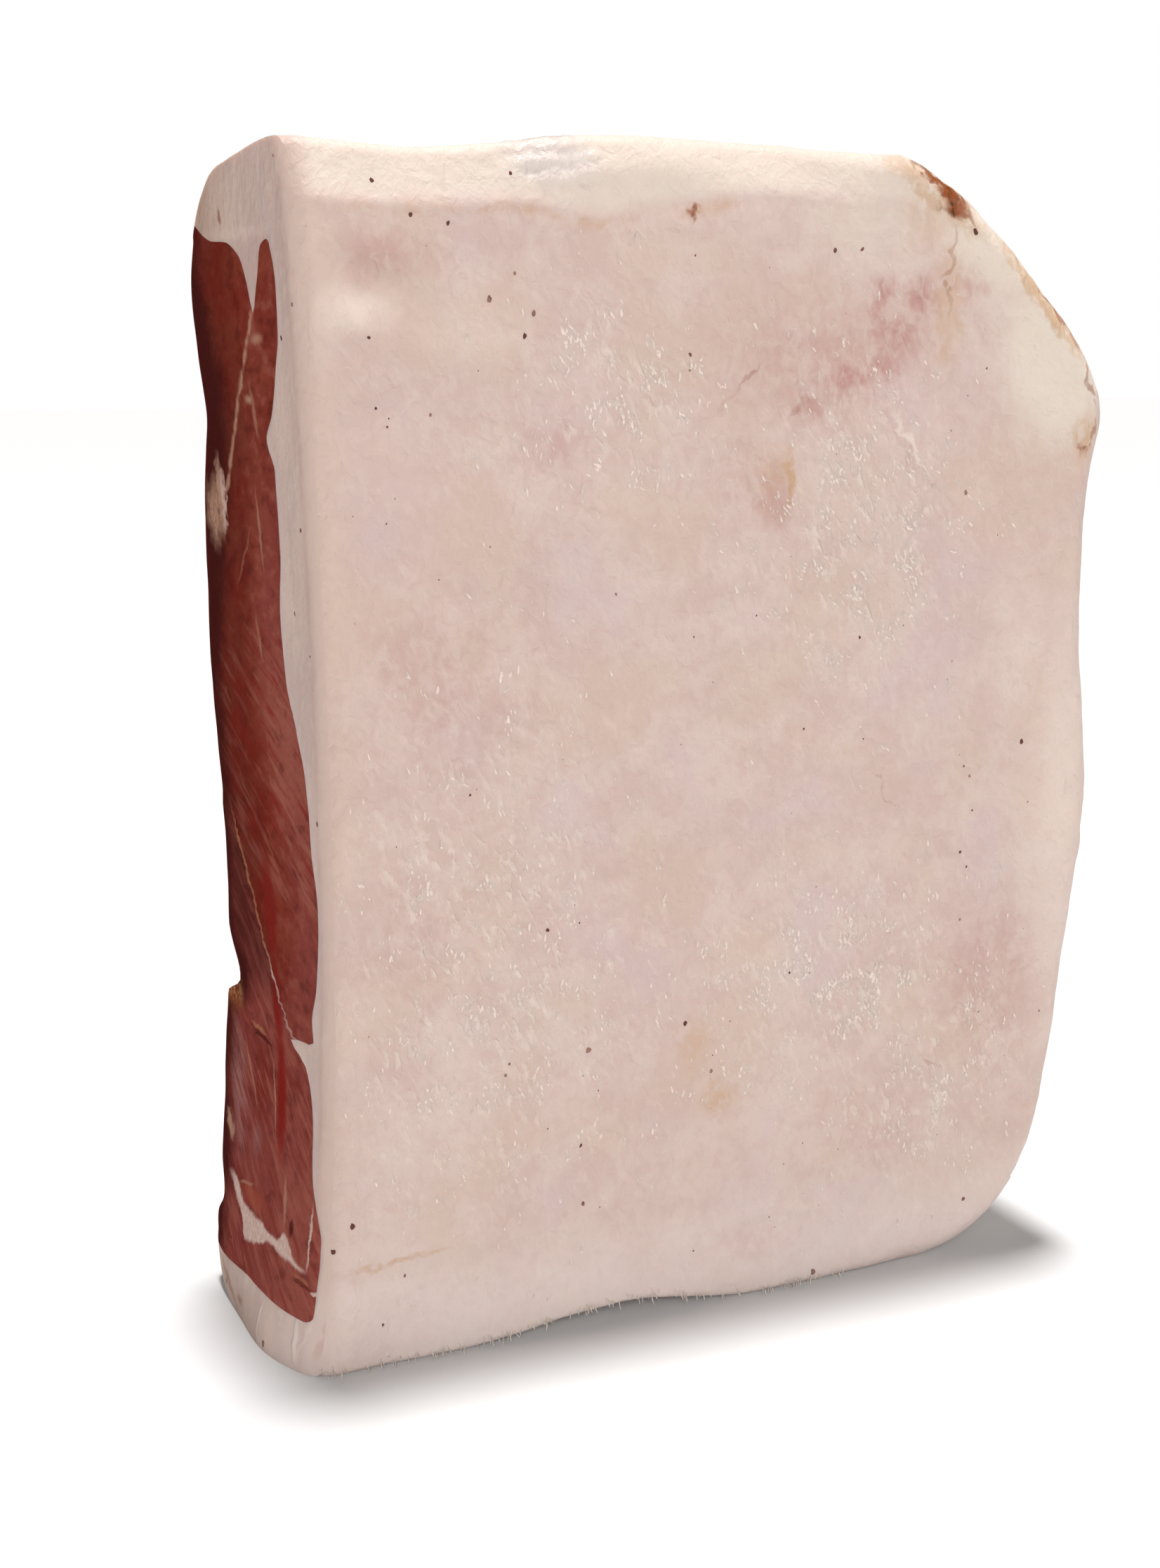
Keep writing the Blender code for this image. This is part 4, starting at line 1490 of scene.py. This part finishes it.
class HamTones(bpy.types.PropertyGroup):
    """Colours of the fat, the lean and the smoke."""

    fat_pale: tone("Pale Fat", "Main colour of the fat cover", (0.60, 0.478, 0.426))
    fat_rose: tone("Rosy Fat", "Rosy clouds in the fat cover", (0.555, 0.415, 0.37))
    fat_flush: tone("Flushed Fat", "Pink and red patches in the fat", (0.44, 0.24, 0.21))
    fat_cream: tone("Cream Fat", "Trimmed edges and the shoulder", (0.665, 0.58, 0.495))
    fat_tan: tone("Tan Fat", "Warmer clouds in the fat cover", (0.56, 0.425, 0.345))
    fat_lilac: tone("Lilac Fat", "Cooler clouds in the fat, and next to the lean", (0.56, 0.44, 0.43))
    fat_gold: tone("Golden Fat", "Fat coloured by the smoke", (0.51, 0.33, 0.20))
    # Painted light: a pale tone that lifts the fat along the foot, where the floor shades it
    foot_painted_light: tone("Foot Fat", "Smooth pale band along the foot", (0.78, 0.68, 0.64))
    wet_fat: tone("Wet Fat", "Moist bump on the top edge", (0.70, 0.64, 0.62))
    fat_edge: tone("Edge Fat", "Along the edge that the knife left", (0.545, 0.415, 0.36))
    fat_brown: tone("Browned Cut Fat", "Cut fat toward the smoked side", (0.34, 0.215, 0.15))
    fibre: tone("Torn Fibre", "Torn shreds of the fat cover", (0.72, 0.61, 0.54))
    cut_fat: tone("Cut Fat", "Fat at the cut", (0.57, 0.425, 0.36))
    cut_fat_deep: tone("Deep Cut Fat", "Rosier streaks in the cut fat", (0.50, 0.365, 0.32))
    fat_mauve: tone("Mauve Fat", "Cut fat next to the lean", (0.42, 0.27, 0.265))
    lean_red: tone("Red Lean", "Deep red of the cut lean", (0.165, 0.020, 0.0125))
    lean_rust: tone("Rusty Lean", "Browner red of the cut lean", (0.205, 0.038, 0.022))
    lean_purple: tone("Purple Lean", "Lower and rear muscles", (0.225, 0.050, 0.043))
    lean_pale: tone("Pale Lean", "Fine marbling and strands", (0.31, 0.096, 0.070))
    # A pale film over the lower muscles, partly painted sheen
    lean_film_and_sheen: tone("Hazy Lean", "Thin pale film over the lower muscles", (0.33, 0.165, 0.155))
    lean_bright: tone("Bright Lean", "Clear red streaks", (0.21, 0.017, 0.013))
    lean_orange: tone("Orange Lean", "Warm red over the wedge", (0.34, 0.080, 0.045))
    lean_dark: tone("Dark Lean", "Dried margin of the lean", (0.050, 0.0095, 0.0085))
    seam_fat: tone("Seam Fat", "Fat between the muscles", (0.45, 0.26, 0.18))
    wedge_fat: tone("Wedge Fat", "The white wedge near the foot", (0.60, 0.44, 0.385))
    seam_gold: tone("Golden Seam", "Dried skin along a seam", (0.38, 0.17, 0.085))
    # Painted shade inside small cuts
    slit_painted_shade: tone("Slit", "Inside of small cuts", (0.060, 0.010, 0.008))
    rust: tone("Rust Crust", "Browned fat and thin crust", (0.235, 0.062, 0.016))
    crust_red: tone("Red Crust", "Smoked side over the lean", (0.095, 0.025, 0.015))
    crust_dark: tone("Dark Crust", "Darkest smoke", (0.030, 0.012, 0.008))
    shred: tone("Shred", "Torn shreds standing off the cover", (0.74, 0.61, 0.54))
    speck: tone("Pepper Speck", "Dark specks in the fat", (0.095, 0.022, 0.017))
    speck_pale: tone("Pale Speck", "The lighter, browner specks", (0.27, 0.14, 0.105))


class HamTrimmings(bpy.types.PropertyGroup):
    """Sizes and numbers of the small things on the surface."""

    shred_count: count("Shreds", "Torn shreds standing off the fat cover", 4200)
    shred_length: length("Shred Length", "Length of a torn shred", 0.0024)
    bristle_count: count("Bristles", "Bristles along the foot's front edge", 130)
    bristle_length: length("Bristle Length", "Length of a bristle", 0.0030)
    speck_size: length("Speck Size", "Size of a dark speck", 0.0009)
    crumb_count: count("Crumbs", "Crumbs of spice and crust on the smoked side", 1500)
    crumb_size: length("Crumb Size", "Size of a crumb", 0.0011)


class HamStage(bpy.types.PropertyGroup):
    """The floor, the light and the camera."""

    floor_tone: tone("Floor", "Colour of the floor", (0.68, 0.68, 0.68))
    sky_strength: amount("Sky", "Light from all round", 0.11)
    overhead_strength: amount("Overhead Light", "Strength of the broad overhead light", 4.4)
    fill_power: amount("Front Fill", "Power of the soft light in front", 27.6, "POWER")
    side_power: amount("Side Fill", "Power of the weak light at the right", 6.0, "POWER")
    lens: amount("Lens", "Focal length of the camera", 48.37, "CAMERA")


# Operators

class DressHam(bpy.types.Operator):
    """Builds the fine fat cover and lean in place of their plain solids"""

    bl_idname = "speck_ham.dress"
    bl_label = "Fat Cover and Lean"

    def execute(self, context):
        form = context.scene.ham_form
        tones = context.scene.ham_tones
        block, shift = fine_block(form)
        tool = add_piece("lean_tool", fine_lean(form, shift))
        outside, cut_fat = fat_cover_finish(tones), cut_fat_finish(tones)
        cut_lean, smoked = cut_lean_finish(tones), smoked_finish(tones)
        for name, operation, node, slot, finishes in (
            ("fat_cover_dressed", "DIFFERENCE", "fat_cover", "cured_fat", (outside, cut_fat, cut_fat)),
            ("lean_dressed", "INTERSECT", "lean", "cured_lean", (smoked, cut_lean, cut_lean)),
        ):
            mesh = carved(name, block.copy(), operation, tool, finishes)
            smooth(mesh)
            keep_inside(mesh)
            piece = add_piece(name, mesh)
            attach(piece, BODY)
            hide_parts(node)
        bpy.data.objects.remove(tool)
        return {"FINISHED"}


# How far the shreds spread from the middle of a field, against its reach
SHRED_SPREAD = 0.42

# Size of the shreds' clusters, the edge without shreds, how deep they sit, in metres
CLUSTER = 0.0065
SMALL_CLUSTER = 0.0022
BARE_EDGE = 0.0060
SHRED_SUNK = 0.00006

# The surface normal's y, below which a place faces the front
FACING_FRONT = -0.9


class TearShreds(bpy.types.Operator):
    """Sets torn shreds of fat on the cover"""

    bl_idname = "speck_ham.shreds"
    bl_label = "Torn Shreds"

    def execute(self, context):
        trimmings = context.scene.ham_trimmings
        draw = random.Random(11)
        tree = surface_tree()
        shapes = [sliver_shape(bend) for bend in (0.05, 0.15, 0.25, 0.40)]
        copies = []
        while len(copies) < trimmings.shred_count:
            (at_x, at_z), (reach_x, reach_z), lean = FIBRE_FIELDS[draw.choice(FIELD_SHARES)]
            x = draw.gauss(at_x, reach_x * SHRED_SPREAD) / 1000.0
            z = draw.gauss(at_z, reach_z * SHRED_SPREAD) / 1000.0
            cluster = noise.noise(Vector((x, 0.0, z)) / CLUSTER)
            cluster += 0.5 * noise.noise(Vector((x, 0.3, z)) / SMALL_CLUSTER)
            if cluster < draw.uniform(0.05, 0.45) or x < BARE_EDGE:
                continue
            hit, normal = on_cover(tree, x, z)
            if hit is None or normal.y > FACING_FRONT:
                continue
            size = trimmings.shred_length * draw.uniform(0.35, 1.0) ** 1.3
            width = size * draw.uniform(0.15, 0.27)
            turn = facing(normal, draw.gauss(lean, 0.35))
            shape = shapes[draw.randrange(len(shapes))]
            copies.append(placed(shape, (width, width * 0.7, size), turn, hit - normal * SHRED_SUNK))
        finish = plain_finish("torn_fat", context.scene.ham_tones.shred, 0.45, 1.0)
        trim("torn_shreds", join_copies("torn_shreds", copies), finish)
        return {"FINISHED"}


# Stretches of the foot with many and with few bristles, in metres, and the first one's share
NEAR_FOOT = (0.0, 0.0800)
FAR_FOOT = (0.0800, 0.1220)
NEAR_SHARE = 0.75

# The bristles' height over the foot's line, their clumps and their widths, in metres
BRISTLE_BAND = (0.0012, 0.0026)
BRISTLE_CLUMP = 0.0050
BRISTLE_WIDTH = (0.00016, 0.00030)


class SetBristles(bpy.types.Operator):
    """Sets short bristles of fat along the foot's front edge"""

    bl_idname = "speck_ham.bristles"
    bl_label = "Foot Bristles"

    def execute(self, context):
        trimmings = context.scene.ham_trimmings
        draw = random.Random(23)
        tree = surface_tree()
        copies = []
        while len(copies) < trimmings.bristle_count:
            x = draw.uniform(*NEAR_FOOT) if draw.random() < NEAR_SHARE else draw.uniform(*FAR_FOOT)
            if noise.noise(Vector((x, 0.0, 0.0)) / BRISTLE_CLUMP) < draw.uniform(-0.5, 0.3):
                continue
            hit, _ = on_cover(tree, x, foot_line(x, 0.0) + draw.uniform(*BRISTLE_BAND))
            if hit is None:
                continue
            size = trimmings.bristle_length * draw.uniform(0.35, 1.0)
            width = draw.uniform(*BRISTLE_WIDTH)
            down = Euler((draw.uniform(-0.75, -0.25), draw.gauss(0.0, 0.30), 0.0)).to_matrix()
            place = hit + down @ Vector((0.0, 0.0, -0.42 * size))
            copies.append(placed(sliver_shape(0.12), (width, width, size), down, place))
        finish = plain_finish("bristle_fat", context.scene.ham_tones.fat_cream, 0.45, 1.0)
        trim("foot_bristles", join_copies("foot_bristles", copies), finish)
        return {"FINISHED"}


# Dark specks on the cover, in millimetres: x, height and size against the usual one
SPECKS = (
    (16.7, 233.5, 0.9), (23.5, 227.5, 0.9), (30.7, 226.1, 0.8), (14.9, 205.4, 0.8), (15.7, 192.6, 0.6),
    (17.8, 189.2, 0.5), (26.3, 191.3, 0.6), (3.0, 169.9, 1.0), (4.2, 113.5, 1.0), (7.8, 32.0, 1.3),
    (4.0, 26.7, 1.2), (18.6, 19.3, 0.6), (13.8, 9.5, 0.7), (40.8, 58.9, 0.9), (41.6, 61.3, 0.6),
    (43.9, 217.3, 0.8), (38.7, 212.5, 1.1), (47.7, 209.9, 1.1), (45.8, 205.7, 0.9), (80.8, 202.2, 0.7),
    (80.8, 199.2, 0.6), (112.9, 222.6, 0.9), (119.1, 222.9, 0.7), (145.8, 226.8, 1.2), (65.1, 155.7, 0.6),
    (146.0, 173.4, 0.9), (120.9, 144.1, 0.6), (108.0, 125.6, 0.6), (162.8, 118.8, 1.0), (147.9, 114.5, 0.5),
    (149.4, 112.2, 0.7), (150.5, 104.4, 0.5), (165.2, 105.0, 0.5), (147.8, 95.3, 0.8), (149.6, 91.8, 0.6),
    (148.5, 79.9, 0.7), (119.4, 82.7, 0.6), (105.7, 72.9, 0.6), (170.4, 56.1, 0.6), (50.0, 88.6, 0.9),
    (59.0, 61.9, 1.5), (81.0, 64.8, 1.1), (87.5, 53.3, 0.9), (57.5, 41.2, 0.7), (57.9, 28.3, 0.8),
    (83.9, 13.0, 0.5), (113.4, 2.9, 1.3), (152.2, 13.6, 0.9), (130.7, 79.0, 0.5), (33.7, 117.8, 0.5),
)

# Dark specks on the cut, in millimetres: depth, height and size against the usual one
CUT_SPECKS = (
    (1.7, 235.5, 0.7),
    (6.8, 237.6, 0.6),
    (3.7, 211.3, 0.9),
    (10.4, 205.3, 1.0),
    (12.8, 153.5, 0.8),
    (5.7, 146.1, 0.6),
    (17.2, 1.6, 1.5),
    (54.2, 170.3, 1.7),
    (45.4, 3.6, 1.2),
)

# How many very fine specks are strewn over the cover, and where, in the shared frame
FINE_SPECKS = 60
FINE_SPECKS_X = (-0.0770, 0.0830)
FINE_SPECKS_Z = (0.0100, 0.2300)


class DotSpecks(bpy.types.Operator):
    """Sets the dark specks in the fat cover and in the cut"""

    bl_idname = "speck_ham.specks"
    bl_label = "Dark Specks"

    def execute(self, context):
        size = context.scene.ham_trimmings.speck_size
        draw = random.Random(37)
        tree = surface_tree()
        found = [(*on_cover(tree, x / 1000.0, z / 1000.0), scale) for x, z, scale in SPECKS]
        for _ in range(FINE_SPECKS):
            x, z = draw.uniform(*FINE_SPECKS_X) - SHIFT[0], draw.uniform(*FINE_SPECKS_Z)
            found.append((*on_cover(tree, x, z), draw.uniform(0.2, 0.4)))
        found += [(*on_cut(tree, y / 1000.0, z / 1000.0), scale) for y, z, scale in CUT_SPECKS]
        specks = []
        for hit, normal, scale in found:
            if hit is None:
                continue
            across = size * scale
            turn = facing(normal, draw.uniform(-0.7, 0.7))
            lengths = (across, across * 0.3, across * draw.uniform(1.0, 1.6))
            specks.append(placed(disc_shape(draw), lengths, turn, hit))
        finish = speck_finish(context.scene.ham_tones)
        trim("dark_specks", join_copies("dark_specks", specks), finish)
        return {"FINISHED"}


# Where the crumbs are strewn on the block, and the size of their clusters, in metres
CRUMBS_X = (0.0, 0.1780)
CRUMBS_Z = (0.0060, 0.2360)
CRUMB_CLUSTER = 0.0120


class StrewCrumbs(bpy.types.Operator):
    """Strews crumbs of crust and spice over the smoked meat side"""

    bl_idname = "speck_ham.crumbs"
    bl_label = "Crust Crumbs"

    def execute(self, context):
        trimmings = context.scene.ham_trimmings
        draw = random.Random(53)
        tree = surface_tree()
        copies = []
        while len(copies) < trimmings.crumb_count:
            x, z = draw.uniform(*CRUMBS_X), draw.uniform(*CRUMBS_Z)
            hit, normal = on_meat_side(tree, x, z)
            if hit is None or noise.noise(hit / CRUMB_CLUSTER) < draw.uniform(-0.5, 0.3):
                continue
            size = trimmings.crumb_size * draw.uniform(0.35, 1.2)
            turn = facing(normal, draw.uniform(-3.0, 3.0))
            copies.append(placed(crumb_shape(draw), (size, size * 0.55, size * 0.8), turn, hit))
        finish = plain_finish("crust_crumb", context.scene.ham_tones.crust_dark, 0.7, 0.8)
        trim("crust_crumbs", join_copies("crust_crumbs", copies), finish)
        return {"FINISHED"}


# The stage, in metres and degrees. A fill light is its size, place and the height it faces.
FLOOR_REACH = 6.0
OVERHEAD_SPREAD = 7.6
OVERHEAD_LEAN = (-4.2, 2.5, 0.0)
FRONT_FILL = (0.9, (-0.83, -1.95, 0.98), 0.12)
SIDE_FILL = (0.8, (1.50, -0.90, 0.70), 0.10)
WARM_SKY = (1.0, 0.86, 0.80, 1.0)
WHITE_BACKDROP = (1.0, 1.0, 1.0, 1.0)
CAMERA_PLACE = (-0.1937, -0.4116, 0.2050)
CAMERA_YAW = 23.3
CAMERA_PITCH = 11.9
SENSOR_HEIGHT = 36.0


class SetStage(bpy.types.Operator):
    """Sets the floor, the soft light and the camera"""

    bl_idname = "speck_ham.stage"
    bl_label = "Stage"

    def execute(self, context):
        stage = context.scene.ham_stage
        self.lay_floor(stage)
        self.set_sky(context.scene, stage)
        self.hang_overhead(stage)
        self.hang_fill("front_fill", stage.fill_power, *FRONT_FILL)
        self.hang_fill("side_fill", stage.side_power, *SIDE_FILL)
        self.place_camera(context.scene, stage)
        context.scene.view_settings.view_transform = "Standard"
        return {"FINISHED"}

    def hang_overhead(self, stage):
        """A broad light from almost straight above."""
        light = bpy.data.lights.new("overhead", "SUN")
        light.energy = stage.overhead_strength
        light.angle = math.radians(OVERHEAD_SPREAD)
        lamp = add_piece("overhead", light)
        lamp.location = (0.0, 0.0, 1.0)
        lamp.rotation_euler = Euler([math.radians(turn) for turn in OVERHEAD_LEAN])

    def hang_fill(self, name, power, size, place, target_height):
        """A square, soft light that faces the ham at a height."""
        light = bpy.data.lights.new(name, "AREA")
        light.energy = power
        light.size = size
        lamp = add_piece(name, light)
        lamp.location = place
        way = Vector((0.0, 0.0, target_height)) - lamp.location
        lamp.rotation_euler = way.to_track_quat("-Z", "Y").to_euler()

    def lay_floor(self, stage):
        form = bmesh.new()
        bmesh.ops.create_grid(form, x_segments=1, y_segments=1, size=FLOOR_REACH)
        mesh = bpy.data.meshes.new("floor")
        form.to_mesh(mesh)
        form.free()
        material = bpy.data.materials.new("floor_paint")
        paint = {
            "Base Color": (*stage.floor_tone, 1.0),
            "Roughness": 0.9,
            "Specular IOR Level": 0.1,
        }
        nodes = Nodes(material)
        shader = nodes.node("ShaderNodeBsdfPrincipled", inputs=paint, output="BSDF")
        nodes.node("ShaderNodeOutputMaterial", inputs={"Surface": shader})
        mesh.materials.append(material)
        add_piece("floor", mesh)

    def set_sky(self, scene, stage):
        """Even light from all round, behind a plain white backdrop."""
        world = bpy.data.worlds.new("studio")
        nodes = Nodes(world)
        warm = {"Color": WARM_SKY, "Strength": stage.sky_strength}
        white = {"Color": WHITE_BACKDROP, "Strength": 1.0}
        around = nodes.node("ShaderNodeBackground", inputs=warm)
        backdrop = nodes.node("ShaderNodeBackground", inputs=white)
        seen = nodes.node("ShaderNodeLightPath", output="Is Camera Ray")
        either = nodes.node("ShaderNodeMixShader", inputs={0: seen, 1: around, 2: backdrop})
        nodes.node("ShaderNodeOutputWorld", inputs={"Surface": either})
        scene.world = world

    def place_camera(self, scene, stage):
        """The photo's viewing angle."""
        lens = bpy.data.cameras.new("photo_camera")
        lens.sensor_fit = "VERTICAL"
        lens.sensor_height = SENSOR_HEIGHT
        lens.lens = stage.lens
        lens.clip_start = 0.01
        camera = add_piece("photo_camera", lens)
        camera.location = CAMERA_PLACE
        yaw, pitch = math.radians(CAMERA_YAW), math.radians(CAMERA_PITCH)
        level = math.cos(pitch)
        ahead = Vector((math.sin(yaw) * level, math.cos(yaw) * level, -math.sin(pitch)))
        camera.rotation_euler = ahead.to_track_quat("-Z", "Y").to_euler()
        scene.camera = camera


class HamPanel(bpy.types.Panel):
    """Lists the ham's pieces in the sidebar"""

    bl_idname = "VIEW3D_PT_speck_ham"
    bl_label = "Speck Ham"
    bl_space_type = "VIEW_3D"
    bl_region_type = "UI"
    bl_category = "Speck Ham"

    def draw(self, context):
        for operator in STEPS:
            self.layout.operator(operator.bl_idname)


SETTINGS = {
    "ham_form": HamForm,
    "ham_tones": HamTones,
    "ham_trimmings": HamTrimmings,
    "ham_stage": HamStage,
}
STEPS = (SetStage, DressHam, TearShreds, SetBristles, DotSpecks, StrewCrumbs)
CLASSES = (*SETTINGS.values(), *STEPS, HamPanel)


def register():
    for entry in CLASSES:
        bpy.utils.register_class(entry)
    for name, group in SETTINGS.items():
        setattr(bpy.types.Scene, name, PointerProperty(type=group))


def unregister():
    for name in SETTINGS:
        delattr(bpy.types.Scene, name)
    for entry in reversed(CLASSES):
        bpy.utils.unregister_class(entry)


def main():
    register()
    bpy.ops.speck_ham.stage()
    bpy.ops.speck_ham.dress()
    bpy.ops.speck_ham.shreds()
    bpy.ops.speck_ham.bristles()
    bpy.ops.speck_ham.specks()
    bpy.ops.speck_ham.crumbs()


if __name__ == "__main__":
    main()
